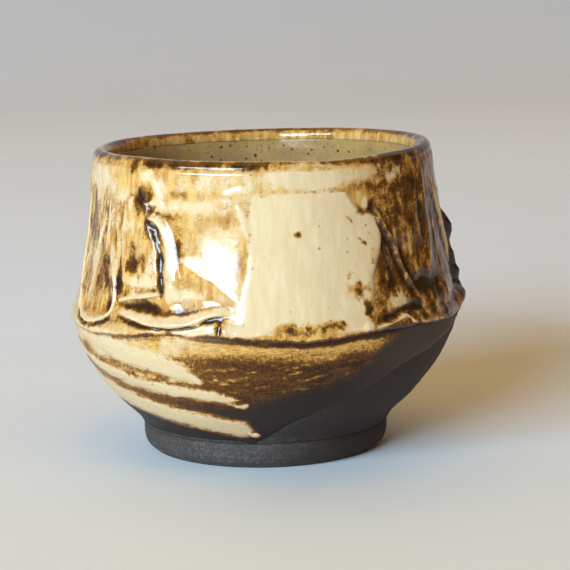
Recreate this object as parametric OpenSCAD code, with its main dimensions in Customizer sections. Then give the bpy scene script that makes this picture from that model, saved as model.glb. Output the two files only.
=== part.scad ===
// Tea bowl of wheel-thrown stoneware. The bowl and its foot ring are clay, a liner, a rim band and a
// belly glaze cover them, and thick slip is laid on the outside as ridges, patches and finger swipes.
// It stands on the foot ring at z = 0, with the cream panel to the front, towards -Y.

/* [Bowl] */
// Height from the table to the top of the clay lip
bowl_h = 82; // [76:1:90]
// Outside diameter of the clay just under the lip
rim_d = 90.4; // [86:0.2:96]
// Outside diameter of the clay at the waist, the widest place
waist_d = 103.2; // [100:0.2:108]
// Height of the waist above the table
waist_h = 37.5; // [35:0.5:40]
// How far the upper wall bows inwards between waist and lip
wall_bow = 1.4; // [0.6:0.1:2.2]
// How far the belly bows outwards between foot and waist
belly_bow = 2.9; // [2:0.1:4]
// Wall thickness at the waist
wall_t = 4.8; // [4.2:0.1:5.6]
// Wall thickness at the lip, which is rounded over
lip_t = 3.6; // [3:0.1:4.2]
// Thickness of the floor in the middle
floor_t = 6.2; // [5:0.1:8]

/* [Foot] */
// Outside diameter of the foot ring
foot_d = 66; // [60:0.5:70]
// Height of the foot ring at its outside
foot_h = 7; // [6.5:0.1:8]
// Width of the foot ring where it stands
foot_w = 7; // [5.5:0.1:8.5]
// Depth of the hollow inside the foot ring
recess_h = 5.2; // [4.8:0.1:5.8]
// Rounding-off of the outer bottom edge
foot_bevel = 1; // [0.6:0.1:1.6]
// Depth of the turned line round the foot
foot_groove = 0.4; // [0.2:0.1:0.7]

/* [Coats] */
// Thickness of the glaze inside the bowl and over the lip
liner_t = 0.4; // [0.3:0.05:0.6]
// How far the dark rim band comes down the outside
rim_band_h = 2.6; // [2.2:0.1:4]
// Thickness of the slip coat on the upper wall
slip_t = 0.8; // [0.6:0.05:1.2]
// Thickness of the glaze on the belly
glaze_t = 0.3; // [0.2:0.05:0.5]
// Height at which the dipped glaze ends in the middle of the front
dip_h = 9; // [8:0.5:12]
// How far below the waist band the glaze ends at the right, where the dip was shallowest
dip_gap = 1.4; // [0.8:0.1:4]
// Height of the rolled edge of slip round the waist
band_w = 4.4; // [4:0.1:5]
// How far the rolled edge stands out from the slip coat
band_out = 0.7; // [0.4:0.1:1]

/* [Slip ridges] */
// Width of the tall rolled ridges
ridge_w = 3; // [2.4:0.1:3.4]
// Height of the tall rolled ridges
ridge_h = 1.4; // [0.9:0.1:1.8]
// Width of the wavy ridges over the waist
wave_w = 3.6; // [2.6:0.1:4]
// Width of the thin folds
fold_w = 2.2; // [1.6:0.1:2.4]
// Height of the thin folds
fold_h = 1; // [0.6:0.1:1.4]
// Width of the fin at the right
fin_w = 4.6; // [3.6:0.1:5]
// Height of the fin at the right
fin_h = 2.4; // [1.6:0.1:2.8]
// Width of the lump at the right of the waist
knob_w = 4.4; // [3.8:0.1:4.6]
// Height of the lump at the right of the waist
knob_h = 1.9; // [1:0.1:2.2]

/* [Slip patches] */
// Thickness of the cream panels
panel_t = 0.6; // [0.4:0.1:0.9]
// Thickness of the slab at the left
slab_t = 0.7; // [0.4:0.1:1]

/* [Swipes] */
// Thickness of the three finger swipes on the belly
swipe_t = 0.35; // [0.25:0.05:0.5]
// Width of the upper swipe
upper_swipe_w = 3.8; // [3:0.1:4.2]
// Width of the middle swipe
middle_swipe_w = 2.4; // [2:0.1:2.8]
// Width of the lower swipe
lower_swipe_w = 4; // [3.2:0.1:4.4]
// Width of the bead at the end of the lower swipe
bead_w = 2.6; // [2:0.1:2.8]
// Height of the bead
bead_h = 0.8; // [0.5:0.1:1]

/* [Hidden] */
$fn = 96;
EPS = 0.001;
// Thickness left at the edge of anything laid on, and its clearance from the coat under it
edge_t = 0.15;
seat = 0.04;

waist_r = waist_d / 2;
rim_r = rim_d / 2;
foot_r = foot_d / 2;
lip_r = lip_t / 2;
lip_z = bowl_h - lip_r;
floor_z = recess_h + floor_t;
// Outer radius of the flat underside that the foot ring carries
seat_r = foot_r - 2.2;
// Lower end of the rim band outside, its lower end inside, and the two ends of the waist band
rim_low = bowl_h - rim_band_h;
liner_top = lip_z - 1;
band_low = waist_h - 1.2;
band_top = band_low + band_w;
glaze_low = foot_h + 1.5;
// Slope of the glaze end, from the middle of the front to its highest place at the right
dip_angle = atan((band_low - dip_gap - dip_h) / (waist_r + glaze_t));

// Belly: an arc through the top of the foot and the waist
chord = [waist_r - foot_r, waist_h - foot_h];
chord_l = norm(chord);
belly_r = (chord_l * chord_l / 4 + belly_bow * belly_bow) / (2 * belly_bow);
belly_c = [(foot_r + waist_r) / 2, (foot_h + waist_h) / 2]
    + (belly_r - belly_bow) / chord_l * [-chord[1], chord[0]];

// Outside radius of the clay at height z
function wall_share(z) = (z - waist_h) / (bowl_h - waist_h);
function upper_r(z) = waist_r + (rim_r - waist_r) * wall_share(z)
    - 4 * wall_bow * wall_share(z) * (1 - wall_share(z));
function lower_r(z) = belly_c[0] + sqrt(belly_r * belly_r - pow(z - belly_c[1], 2));
function clay_r(z) = z >= waist_h ? upper_r(z) : lower_r(z);

// Outside radius of the coats: belly glaze, rolled waist band, slip coat
function band_bulge(z) = band_out * sin(180 * (z - band_low) / band_w);
function skin_r(z) = z < band_low ? clay_r(z) + glaze_t
    : z < band_top ? clay_r(z) + slip_t + band_bulge(z)
    : clay_r(z) + slip_t;

// Inside of the bowl: a full round well up to the waist, then the wall less its thickness
well_full = 2 / 2.4;
function well_low(a, inset) = [
    (waist_r - wall_t - inset) * pow(cos(a), well_full),
    waist_h - (waist_h - floor_z - inset) * pow(sin(a), well_full)];
function thick(z) = wall_t + (lip_t - wall_t) * (z - waist_h) / (lip_z - waist_h);
function well_r(z) = clay_r(z) - thick(z);

// Heights from z0 to z1 in n equal steps
function steps(z0, z1, n) = [for (i = [0 : n]) z0 + (z1 - z0) * i / n];
function outside(z0, z1, n) = [for (z = steps(z0, z1, n)) [clay_r(z), z]];
function covered(z0, z1, n) = [for (z = steps(z0, z1, n)) [skin_r(z - EPS), z]];
function lip_arc(r, a0, a1) = [for (a = steps(a0, a1, 10))
    [clay_r(lip_z) - lip_r + r * cos(a), lip_z + r * sin(a)]];
function inside_up(z1, inset) = concat(
    [[0, floor_z + inset]],
    [for (i = [1 : 14]) well_low(90 - i * 90 / 15, inset)],
    [for (z = steps(waist_h, z1, 12)) [well_r(z) - inset, z]]);
function backwards(v) = [for (i = [len(v) - 1 : -1 : 0]) v[i]];

// Places on the outside: degrees round from the front and percent of the way up wall or belly
function wall_z(p) = waist_h + (bowl_h - waist_h) * p / 100;
function belly_z(p) = foot_h + (waist_h - foot_h) * p / 100;
function on_wall(v) = [for (p = v) [p[0], wall_z(p[1])]];
function on_belly(v) = [for (p = v) [p[0], belly_z(p[1])]];

// Smooth curve through the points of v, n steps between each two
function at(v, i) = v[max(0, min(len(v) - 1, i))];
function blend(a, b, c, d, t) = 0.5 * (2 * b + (c - a) * t
    + (2 * a - 5 * b + 4 * c - d) * t * t + (3 * b - a - 3 * c + d) * t * t * t);
function smooth(v, n) = [for (i = [0 : (len(v) - 1) * n])
    let (k = min(floor(i / n), len(v) - 2))
    blend(at(v, k - 1), at(v, k), at(v, k + 1), at(v, k + 2), i / n - k)];

// Rows of places across a line of slip, narrowing to its ends, or between two edges of a patch
function mm_per_deg(z) = skin_r(z) * PI / 180;
function heading(v, i) = let (
    a = at(v, i - 1),
    b = at(v, i + 1),
    d = [(b[0] - a[0]) * mm_per_deg(v[i][1]), b[1] - a[1]]) d / norm(d);
function end_shape(s, k) = pow(1 - pow(abs(2 * s - 1), k), 0.5);
function line_grid(v, w, m) = [for (i = [0 : len(v) - 1])
    let (
        d = heading(v, i),
        half = w / 2 * (0.2 + 0.8 * end_shape(i / (len(v) - 1), 4)))
    [for (j = [0 : m])
        let (t = (2 * j / m - 1) * half)
        v[i] + [-d[1] * t / mm_per_deg(v[i][1]), d[0] * t]]];
function patch_grid(left, right, m) = [for (i = [0 : len(left) - 1])
    [for (j = [0 : m]) right[i] + (left[i] - right[i]) * j / m]];

function place(p, up) = let (r = skin_r(p[1]) + seat + up)
    [r * sin(p[0]), -r * cos(p[0]), p[1]];
function rise(s, t, h, k) = edge_t + (h - edge_t) * (1 - pow(abs(2 * t - 1), k))
    * end_shape(s, 2 * k);

// A closed body laid on the coat: grid of places, height h, k = 2 round or more for flat
module laid_on(grid, h, k) {
    n = len(grid) - 1;
    m = len(grid[0]) - 1;
    row = m + 1;
    low = (n + 1) * row;
    pts = concat(
        [for (i = [0 : n], j = [0 : m]) place(grid[i][j], rise(i / n, j / m, h, k))],
        [for (i = [0 : n], j = [0 : m]) place(grid[i][j], 0)]);
    tops = [for (i = [0 : n - 1], j = [0 : m - 1])
        let (a = i * row + j) [a, a + 1, a + row + 1, a + row]];
    bases = [for (i = [0 : n - 1], j = [0 : m - 1])
        let (a = low + i * row + j) [a, a + row, a + row + 1, a + 1]];
    sides = [for (i = [0 : n - 1], j = [0, m])
        let (a = i * row + j, b = a + row)
        j == 0 ? [a, b, b + low, a + low] : [b, a, a + low, b + low]];
    ends = [for (j = [0 : m - 1], i = [0, n])
        let (a = i * row + j)
        i == 0 ? [a + 1, a, a + low, a + 1 + low] : [a, a + 1, a + 1 + low, a + low]];
    polyhedron(points = pts, faces = concat(tops, bases, sides, ends), convexity = 8);
}

module ridge(v, w, h, n = 3, m = 4) {
    laid_on(line_grid(smooth(v, n), w, m), h, 2);
}

module patch(left, right, h, n = 3, m = 12) {
    laid_on(patch_grid(smooth(left, n), smooth(right, n), m), h, 6);
}

// Clay bowl, flat underneath where the foot ring is luted on, with a rounded lip
module thrown_bowl() {
    color("#6b5a4c") rotate_extrude() polygon(concat(
        [[0, recess_h], [seat_r, recess_h]],
        outside(foot_h, waist_h, 20),
        outside(waist_h + 1, lip_z, 20),
        lip_arc(lip_r, 0, 180),
        backwards(inside_up(lip_z - 1, 0))));
}

// Clay ring luted under the bowl, hollow inside, with a turned line round it
module foot_ring() {
    foot_in = foot_r - foot_w;
    line_z = foot_h * 0.4;
    color("#4a4542") rotate_extrude() polygon([
        [foot_in, 0],
        [foot_r - foot_bevel, 0],
        [foot_r, foot_bevel],
        [foot_r, line_z - foot_groove],
        [foot_r - foot_groove, line_z],
        [foot_r, line_z + foot_groove],
        [foot_r, foot_h],
        [seat_r, recess_h],
        [foot_in - 1, recess_h],
        [foot_in - 0.6, 1]]);
}

// Glaze over the whole inside, up to the rim band
module liner_glaze() {
    color("#b9ad86") rotate_extrude() polygon(concat(
        inside_up(liner_top, 0),
        backwards(inside_up(liner_top, liner_t))));
}

// Dark glaze folded over the lip
module rim_glaze() {
    outer_up = [for (z = steps(rim_low, lip_z, 3)) [clay_r(z) + liner_t, z]];
    clay_up = [for (z = steps(rim_low, lip_z, 3)) [clay_r(z), z]];
    color("#4d2f1c") rotate_extrude() polygon(concat(
        outer_up,
        lip_arc(lip_r + liner_t, 9, 180),
        [[well_r(liner_top) - liner_t, liner_top], [well_r(liner_top), liner_top]],
        backwards(lip_arc(lip_r, 9, 180)),
        backwards(clay_up)));
}

// Thick slip coat on the upper wall, from the waist band to the rim band
module wall_slip() {
    color("#a8743c") rotate_extrude() polygon(concat(
        backwards(outside(band_top, rim_low, 20)),
        [for (z = steps(band_top, rim_low, 20)) [clay_r(z) + slip_t, z]]));
}

// Rolled lower edge of the slip coat round the waist
module waist_band() {
    color("#c08a48") rotate_extrude() polygon(concat(
        backwards(outside(band_low, waist_h, 4)),
        [for (z = steps(band_low, band_top, 16)) [clay_r(z) + slip_t + band_bulge(z), z]],
        backwards(outside(waist_h + 0.8, band_top, 4))));
}

// Thin glaze on the belly, dipped at a slant so that its end rises to the right
module belly_glaze() {
    color("#6a4526") difference() {
        rotate_extrude() polygon(concat(
            backwards(outside(glaze_low, band_low, 20)),
            covered(glaze_low, band_low, 20)));
        translate([0, 0, dip_h]) rotate([0, -dip_angle, 0]) translate([-100, -100, -200]) cube([200, 200, 200]);
    }
}

// Smooth cream panel in the middle of the front
module cream_panel() {
    color("#e3cfa2") patch(
        on_wall([[-10, 3], [-10, 16], [-8.5, 30], [-8, 45], [-6.5, 60], [-4, 80]]),
        on_wall([[30, 3], [31.5, 16], [33, 30], [36, 46], [34.5, 64], [27, 80]]),
        panel_t);
}

// Thick slab left of the middle, with its lower edge rolled up as a shelf
module left_slab() {
    color("#b98447") patch(
        on_wall([[-47, 31], [-49, 44], [-50, 58], [-48, 78]]),
        on_wall([[-33.5, 31], [-35, 44], [-40.5, 58], [-43, 78]]),
        slab_t, 3, 5);
}

// Raised edge of the hollow that a finger dragged down the left side
module tongue_rim() {
    color("#d9bd85") ridge(on_wall([[-79, 78], [-78.5, 60], [-79, 41], [-75, 19], [-70, 7], [-61, 4],
        [-54, 7], [-50.5, 13], [-50, 20], [-51, 28], [-53, 36]]), fold_w, fold_h);
}

// Hooked ridge that runs down from the slab to the waist
module hook_ridge() {
    color("#e0c48c") ridge(on_wall([[-39, 68], [-35.6, 67], [-31.9, 62], [-29.3, 52], [-28.2, 42], [-27.5, 31],
        [-26.7, 19]]), ridge_w, ridge_h);
}

// Short ridge along the lower edge of the slab
module shelf_ridge() {
    color("#e0c48c") ridge(on_wall([[-46, 19.5], [-41.9, 21], [-36.8, 22.5], [-31.5, 25]]), fold_w, fold_h);
}

// Wavy ridge over the waist, rising to the panel
module wave_ridge() {
    color("#e0c48c") ridge(on_wall([[-46, 12.5], [-41, 11], [-35, 9.5], [-29, 9], [-24, 10], [-19, 12.5],
        [-14.5, 16]]), wave_w, ridge_h, 3, 6);
}

// Long fold that slants down the right side
module fold_ridge() {
    color("#c99a58") ridge(on_wall([[35.7, 76], [38.9, 63], [42, 53], [44.4, 43], [46.8, 32], [50, 23],
        [54.5, 13]]), fold_w, fold_h);
}

// Short fold between the panel and the long fold
module short_fold() {
    color("#c99a58") ridge(on_wall([[39, 52], [39.8, 44], [41.5, 33]]), fold_w * 0.7, fold_h * 0.8, 4);
}

// Torn edge of slip right of the panel, on the waist band
module torn_edge() {
    color("#d9bd85") ridge(on_wall([[34, 4], [40, 5.5], [45, 6], [50, 3.5], [58, 2.5], [70, 2]]),
        fold_w, fold_h * 0.7, 4, 6);
}

// Tall fin that stands out at the right
module fin_ridge() {
    color("#8a5a2e") ridge(on_wall([[67, 74], [73, 69], [79, 58], [84, 47], [87, 34], [89, 21]]), fin_w, fin_h);
}

// Lump of slip on the waist band at the right
module waist_knob() {
    color("#8a5a2e") ridge(on_wall([[79, 3.5], [86, 5], [94, 6.5]]), knob_w, knob_h, 6, 8);
}

// Three fingers of cream slip wiped across the belly
module upper_swipe() {
    color("#dcc594") ridge(on_belly([[-70, 88], [-55, 87], [-42, 85], [-33, 81], [-26, 74], [-20, 64]]),
        upper_swipe_w, swipe_t);
}

module middle_swipe() {
    color("#dcc594") ridge(on_belly([[-92, 78], [-78, 74], [-64, 67], [-51, 60], [-40, 57], [-30, 55.5], [-20, 52],
        [-12, 47], [-5, 40]]), middle_swipe_w, swipe_t);
}

module lower_swipe() {
    color("#dcc594") ridge(on_belly([[-104, 62], [-86, 55], [-70, 51], [-56, 47], [-44, 41], [-34, 34.5], [-25, 28],
        [-15, 22], [-8, 16]]), lower_swipe_w, swipe_t);
}

// Bead where the lower swipe ran down and stopped
module slip_bead() {
    color("#efe2c2") ridge(on_belly([[-5.6, 13], [-4.2, 11.5], [-2.6, 11.5]]), bead_w, bead_h, 4);
}

// The like slip on the far side
module back_panel() {
    color("#e3cfa2") patch(
        on_wall([[160, 3], [158, 20], [162, 45], [165, 62], [168, 80]]),
        on_wall([[196, 3], [198, 20], [197, 45], [193, 62], [190, 78]]),
        panel_t);
}

module back_hook() {
    color("#e0c48c") ridge(on_wall([[-151, 71], [-146, 69], [-142, 58], [-139, 40], [-137, 18]]), ridge_w, ridge_h, 4);
}

module back_fold() {
    color("#c99a58") ridge(on_wall([[130, 76], [125, 60], [122, 42], [117, 26], [112, 13]]), fold_w, fold_h, 4);
}

module back_wave() {
    color("#e0c48c") ridge(on_wall([[-132, 16], [-122, 11], [-110, 10], [-98, 14]]), wave_w, ridge_h, 5, 6);
}

thrown_bowl();
foot_ring();
liner_glaze();
rim_glaze();
wall_slip();
waist_band();
belly_glaze();
cream_panel();
left_slab();
tongue_rim();
hook_ridge();
shelf_ridge();
wave_ridge();
fold_ridge();
short_fold();
torn_edge();
fin_ridge();
waist_knob();
upper_swipe();
middle_swipe();
lower_swipe();
slip_bead();
back_panel();
back_hook();
back_fold();
back_wave();
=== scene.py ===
"""Tea bowl of thrown stoneware, dressed over its solids: turned clay, glaze coats and laid-on slip.

Front is towards -Y. Places on the outside are given in degrees round from the front, to the right,
and in millimetres above the table or percent of the way up the wall or the belly.
"""
import itertools
import math
from functools import cache

import bpy
import numpy as np
from bpy.props import FloatProperty, FloatVectorProperty, IntProperty, PointerProperty
from mathutils import Matrix, Vector


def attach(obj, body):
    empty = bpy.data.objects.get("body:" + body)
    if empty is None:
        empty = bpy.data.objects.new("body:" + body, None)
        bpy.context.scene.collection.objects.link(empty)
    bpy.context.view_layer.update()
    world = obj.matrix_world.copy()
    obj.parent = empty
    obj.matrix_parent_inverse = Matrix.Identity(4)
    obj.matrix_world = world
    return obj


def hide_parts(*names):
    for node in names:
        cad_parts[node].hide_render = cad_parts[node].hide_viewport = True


bl_info = {
    "name": "Tea Bowl",
    "version": (1, 0, 0),
    "blender": (4, 5, 0),
    "location": "View3D > Sidebar > Tea Bowl",
    "description": "Builds a thrown stoneware tea bowl with glaze coats and laid-on slip",
    "category": "Add Mesh",
}

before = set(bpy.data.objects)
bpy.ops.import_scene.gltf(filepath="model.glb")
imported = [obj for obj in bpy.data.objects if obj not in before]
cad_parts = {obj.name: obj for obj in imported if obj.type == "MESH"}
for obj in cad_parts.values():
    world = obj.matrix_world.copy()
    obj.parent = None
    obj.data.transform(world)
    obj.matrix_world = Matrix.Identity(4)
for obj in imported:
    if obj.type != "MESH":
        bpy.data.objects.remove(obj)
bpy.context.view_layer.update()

BODY = "root"
MM = 0.001
DEG = math.pi / 180.0
# Millimetres round the wall for one degree, at the middle of the wall
ARC = 0.84
FLAT = np.array([ARC, 1.0])
# Net on which the coat is worked out: steps in degrees and mm, lowest and highest row, radius in mm
NET_TURN, NET_RISE, NET_LOW, NET_HIGH, NET_R = 0.3, 0.25, 5.5, 83.5, 48
# Distance given to places that a line doesn't reach
FAR = 99.0

# Lines of slip on the wall: kind of slip, which makes the crests pale or brown, width and height in mm, how
# far the crest leans to one side, how the width swells from start to end, then degrees round and percent up
WALL_LINES = {
    "tongue_rim": ("pale_slip", 1.3, 0.42, 0, (1, 1, 1), [
        (-79, 78), (-78.5, 60), (-79, 41), (-75, 19), (-70, 7), (-61, 4), (-54, 7), (-50.5, 13), (-50, 20),
        (-51, 28), (-53, 36)]),
    "hook_ridge": ("pale_slip", 4.2, 0.85, -0.5, (0.5, 0.85, 1.1), [
        (-39, 68), (-35.6, 67), (-31.9, 62), (-29.3, 52), (-28.2, 42), (-27.5, 31), (-26.7, 19)]),
    "shelf_ridge": ("pale_slip", 1.5, 0.75, -0.4, (0.8, 1, 0.9), [
        (-48, 18), (-41.9, 21), (-36.8, 22.5), (-30.5, 25)]),
    "wave_ridge": ("pale_slip", 3.5, 1.4, -0.5, (0.55, 1.1, 0.7), [
        (-47, 13.5), (-41, 11.5), (-35, 10), (-29, 9.5), (-24, 10.5), (-19, 13), (-14, 16), (-8, 16.5)]),
    "fold_ridge": ("amber_slip", 1.2, 0.5, 0, (0.8, 1, 0.9), [
        (35.7, 76), (38.9, 63), (42, 53), (44.4, 43), (46.8, 32), (50, 23), (54.5, 11)]),
    "short_fold": ("amber_slip", 1, 0.5, 0, (0.8, 1, 0.8), [(39, 52), (39.8, 44), (41.5, 33)]),
    "torn_edge": ("pale_slip", 1.1, 0.6, -0.3, (1, 1, 0.8), [
        (32, 4), (38.5, 5.5), (44.4, 7.5), (47, 3.5), (52, 2), (59, 1.5), (72, 0.5)]),
    "fin_ridge": ("amber_slip", 4.6, 2.3, 0, (0.9, 1, 1), [
        (73, 72), (79, 68), (83, 59), (85, 49), (86.5, 37), (88, 24), (89, 14)]),
    "waist_knob": ("amber_slip", 6.4, 2.9, 0, (0.8, 1, 0.8), [(77, 4), (86.5, 7.5), (96, 9)]),
    "back_hook": ("pale_slip", 3.2, 1.3, 0.3, (0.7, 0.9, 1.1), [
        (-151, 71), (-146, 69), (-142, 58), (-139, 40), (-137, 18)]),
    "back_fold": ("amber_slip", 1.8, 1, 0, (0.8, 1, 0.9), [
        (130, 76), (125, 60), (122, 42), (117, 26), (112, 13)]),
    "back_wave": ("pale_slip", 3.4, 1.3, -0.5, (0.6, 1.1, 0.7), [
        (-132, 16), (-122, 11), (-110, 10), (-98, 14)]),
}

# Shares of a line's length at which it is fully risen and at which it starts to fall, where they aren't usual
LINE_TIPS = {"hook_ridge": (0.05, 0.86), "waist_knob": (0.5, 0.5)}
USUAL_TIPS = (0.14, 0.86)
# Outline of the fin: mm up and share of its height
FIN_OUTLINE = [
    (41, 0), (44, 0.7), (46.7, 1), (48.4, 0.74), (51.5, 0.7), (53.1, 0.52), (55, 0.5), (57.5, 0.95),
    (59.5, 1), (61.1, 0.7), (62.7, 0.42), (64.3, 0.08), (66, 0)]
# Pale strip beside the fin: degrees and mm
FIN_STRIP = [(71.4, 72.5), (73.9, 68), (75.7, 63.5), (78.4, 59), (81.4, 54), (84, 48)]

# Finger swipes on the belly: kind of slip, width and height in mm, how the width goes from start to end, then
# degrees round and percent up the belly
BELLY_LINES = {
    "upper_swipe": ("cream_slip", 6.6, 0.3, (0.3, 0.9, 1, 0.9, 0.35), [
        (-68, 91), (-55, 86.5), (-46, 82), (-38, 79), (-30, 74.5), (-24, 69), (-20, 63)]),
    "middle_swipe": ("cream_slip", 4.2, 0.3, (0.3, 0.85, 1, 1, 0.55), [
        (-96, 80), (-78, 74), (-64, 66), (-51, 59), (-40, 55.5), (-30, 53), (-20, 50), (-13, 46.5),
        (-7, 42)]),
    "lower_swipe": ("cream_slip", 7.4, 0.35, (0.4, 1, 1, 0.95, 0.8), [
        (-106, 58), (-86, 48), (-70, 41), (-56, 36), (-44, 31.5), (-34, 27), (-25, 23.5), (-15, 19.5),
        (-8.5, 16.5)]),
    "slip_bead": ("cream_slip", 2, 0.7, (0.6, 0.9, 1, 0.9, 0.6), [
        (-6.4, 11.6), (-4.7, 10.4), (-2.9, 11)]),
}
# Swipes that end in bristle marks
FRAYED = ("upper_swipe", "middle_swipe")

# Patches of slip on the wall: kind of slip, thickness in mm, softness of the left border and of the rest,
# left edge and right edge
PATCHES = {
    "cream_panel": (
        "cream_slip", 0.5, (16, 1.6),
        [(-11, 2.5), (-11.2, 14), (-8.6, 21), (-7.2, 34), (-6.2, 50), (-5.2, 66), (-3.5, 82)],
        [
         (31.4, 2.5), (33.6, 18), (34.4, 32), (37.2, 43), (39.4, 52), (38.6, 64), (31, 70.5), (26.5, 82)]),
    "left_slab": (
        "amber_slip", 0.7, (1, 1),
        [(-47, 27), (-49, 44), (-50, 58), (-48, 78)],
        [(-31, 27), (-31.6, 44), (-33.6, 58), (-39.4, 78)]),
    "back_panel": (
        "cream_slip", 0.6, (6, 3),
        [(160, 3), (158, 20), (162, 45), (165, 62), (168, 80)],
        [(196, 3), (198, 20), (197, 45), (193, 62), (190, 80)]),
}
# How softly the colour of a patch ends, at its left border and the rest
COVER_SOFT = {"back_panel": (5.0, 4.0)}
USUAL_COVER_SOFT = (1.8, 0.9)

# Left and right side of the hollow dragged down the left of the wall: degrees and mm
TONGUE = (
    [(-64, 39.6), (-71, 41), (-75, 46), (-79, 55), (-78.5, 64), (-79, 77)],
    [(-60, 39.6), (-53, 40.6), (-50.5, 43), (-51, 49), (-53.5, 55), (-56, 77)])

# Lower edge of the slip coat: degrees round and height in mm
COAT_EDGE = [
    (-180, 37.4), (-150, 38.2), (-125, 37), (-100, 37.6), (-78, 36.6), (-57, 36), (-39, 37.4), (-32, 38.2),
    (-23, 38.5), (-11, 38.4), (-1, 37.4), (10, 36.7), (23, 37.4), (30, 37.9), (39, 38.2), (50, 38.1),
    (75, 36.9), (100, 37.4), (130, 38.3), (160, 37), (180, 37.4)]
# Height in mm under which the belly carries only a thin wash, by degrees round
WASH_TOP = [
    (-180, 24), (-110, 18), (-60, 14), (-4, 18.5), (11, 22.5), (27, 25.5), (36, 32), (43, 38), (52, 43),
    (75, 44), (110, 42), (150, 30), (180, 24)]

# Cracks and seams that pool dark glaze, darkened further as painted shade: depth and half width in mm, then
# degrees and mm
CRACKS = [
    (1.1, 0.55, [(-36.6, 65.4), (-34.2, 62.4), (-32.8, 58), (-32, 53.5), (-31.4, 49.5), (-31, 47)]),
    (0.35, 0.6, [(-43, 75), (-40.4, 71), (-37.6, 66.6), (-35.6, 64)]),
    (0.5, 0.36, [
        (-48, 42), (-43.6, 41), (-36, 40), (-27, 39.9), (-20, 40.9), (-15, 42.4), (-11.8, 42.8)]),
    (0.6, 0.5, [(-12.2, 38.5), (-12.4, 41), (-12, 43)]),
    (0.5, 0.6, [(-72.5, 41.4), (-69, 39.4), (-61, 37.9), (-54, 39.1), (-50, 41.2)]),
    (0.32, 0.42, [
        (34.3, 70.5), (37.4, 64.8), (40.4, 60.2), (42.8, 55.8), (45.2, 51), (48.2, 47), (52, 42.8)]),
    (0.6, 0.6, [(68, 71.5), (71.4, 66.5), (73.6, 61.5), (77, 56.5), (81, 50)]),
    (0.5, 0.6, [(31.5, 40), (37, 41), (42, 42.3), (47, 42.6), (52, 41)]),
    (0.45, 0.6, [(38, 62), (39.6, 57), (41, 51), (41.5, 45)]),
    (0.5, 0.6, [(45.5, 60), (47.5, 53), (51, 48.5)]),
    (0.7, 0.6, [(-154, 70), (-146, 62), (-143, 50), (-141, 42)]),
    (0.5, 0.6, [(-134, 42), (-120, 39.6), (-104, 40.2), (-97, 42)]),
]

# Fine raised creases in the coat: height and half width in mm, then degrees and mm
CREASES = [
    (0.35, 0.6, [(-37.5, 77.5), (-35, 74), (-33, 71.5)]),
    (0.3, 0.6, [(-39.5, 70.2), (-36, 71), (-31.5, 70.4)]),
    (0.14, 0.35, [(-12, 73.8), (-8.5, 74.6), (-5.5, 75.2)]),
    (0.15, 0.7, [(-8, 71), (-6, 67), (-4.5, 62.5)]),
    (0.3, 0.45, [(-60.5, 67.5), (-64, 60), (-68.5, 53.5)]),
    (0.25, 0.45, [(-73, 73), (-74.5, 62), (-76.5, 51)]),
    (0.25, 0.4, [(-57, 72), (-58, 62), (-58.5, 56)]),
    (0.3, 0.5, [(57, 75), (56, 66), (57.5, 57)]),
    (0.25, 0.5, [(66.5, 66), (68, 57), (71, 49)]),
    (0.24, 0.4, [
        (35.7, 71.3), (38.9, 65.5), (42, 61.1), (44.4, 56.6), (46.8, 51.7), (50, 47.7), (54.5, 42.4)]),
    (0.25, 0.4, [(39.6, 60.5), (40.6, 57), (42.2, 52.2)]),
    (1, 0.8, [(72, 72.5), (74.5, 68), (76.3, 63.5), (79, 59), (82, 54), (84.5, 48)]),
    (0.3, 0.5, [(110, 70), (108, 60), (104, 50)]),
    (0.3, 0.5, [(-118, 72), (-114, 62), (-116, 50)]),
    (0.3, 0.5, [(143, 72), (146, 64), (144, 52)]),
]

# Hollows in the slip: degrees, mm up, half sizes in mm round and up, depth in mm
HOLLOWS = [
    (-38, 45, 4.5, 1.3, 0.9), (-33, 44.9, 2, 1.1, 0.6), (-21, 46, 4, 1.2, 0.5), (-43.2, 55.6, 2.2, 4, 0.4),
    (-48.7, 50.2, 1.5, 3.4, 0.5), (-56.7, 54.8, 1.1, 1.8, 0.4), (-52.3, 44.2, 1.5, 2.2, 0.5),
    (57, 47.4, 7, 2, 1.1), (49, 42.6, 2.2, 1.3, 0.6), (48, 55, 4, 5, 0.4), (150, 50, 3, 5, 0.4),
    (-120, 55, 4, 7, 0.4)]

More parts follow.
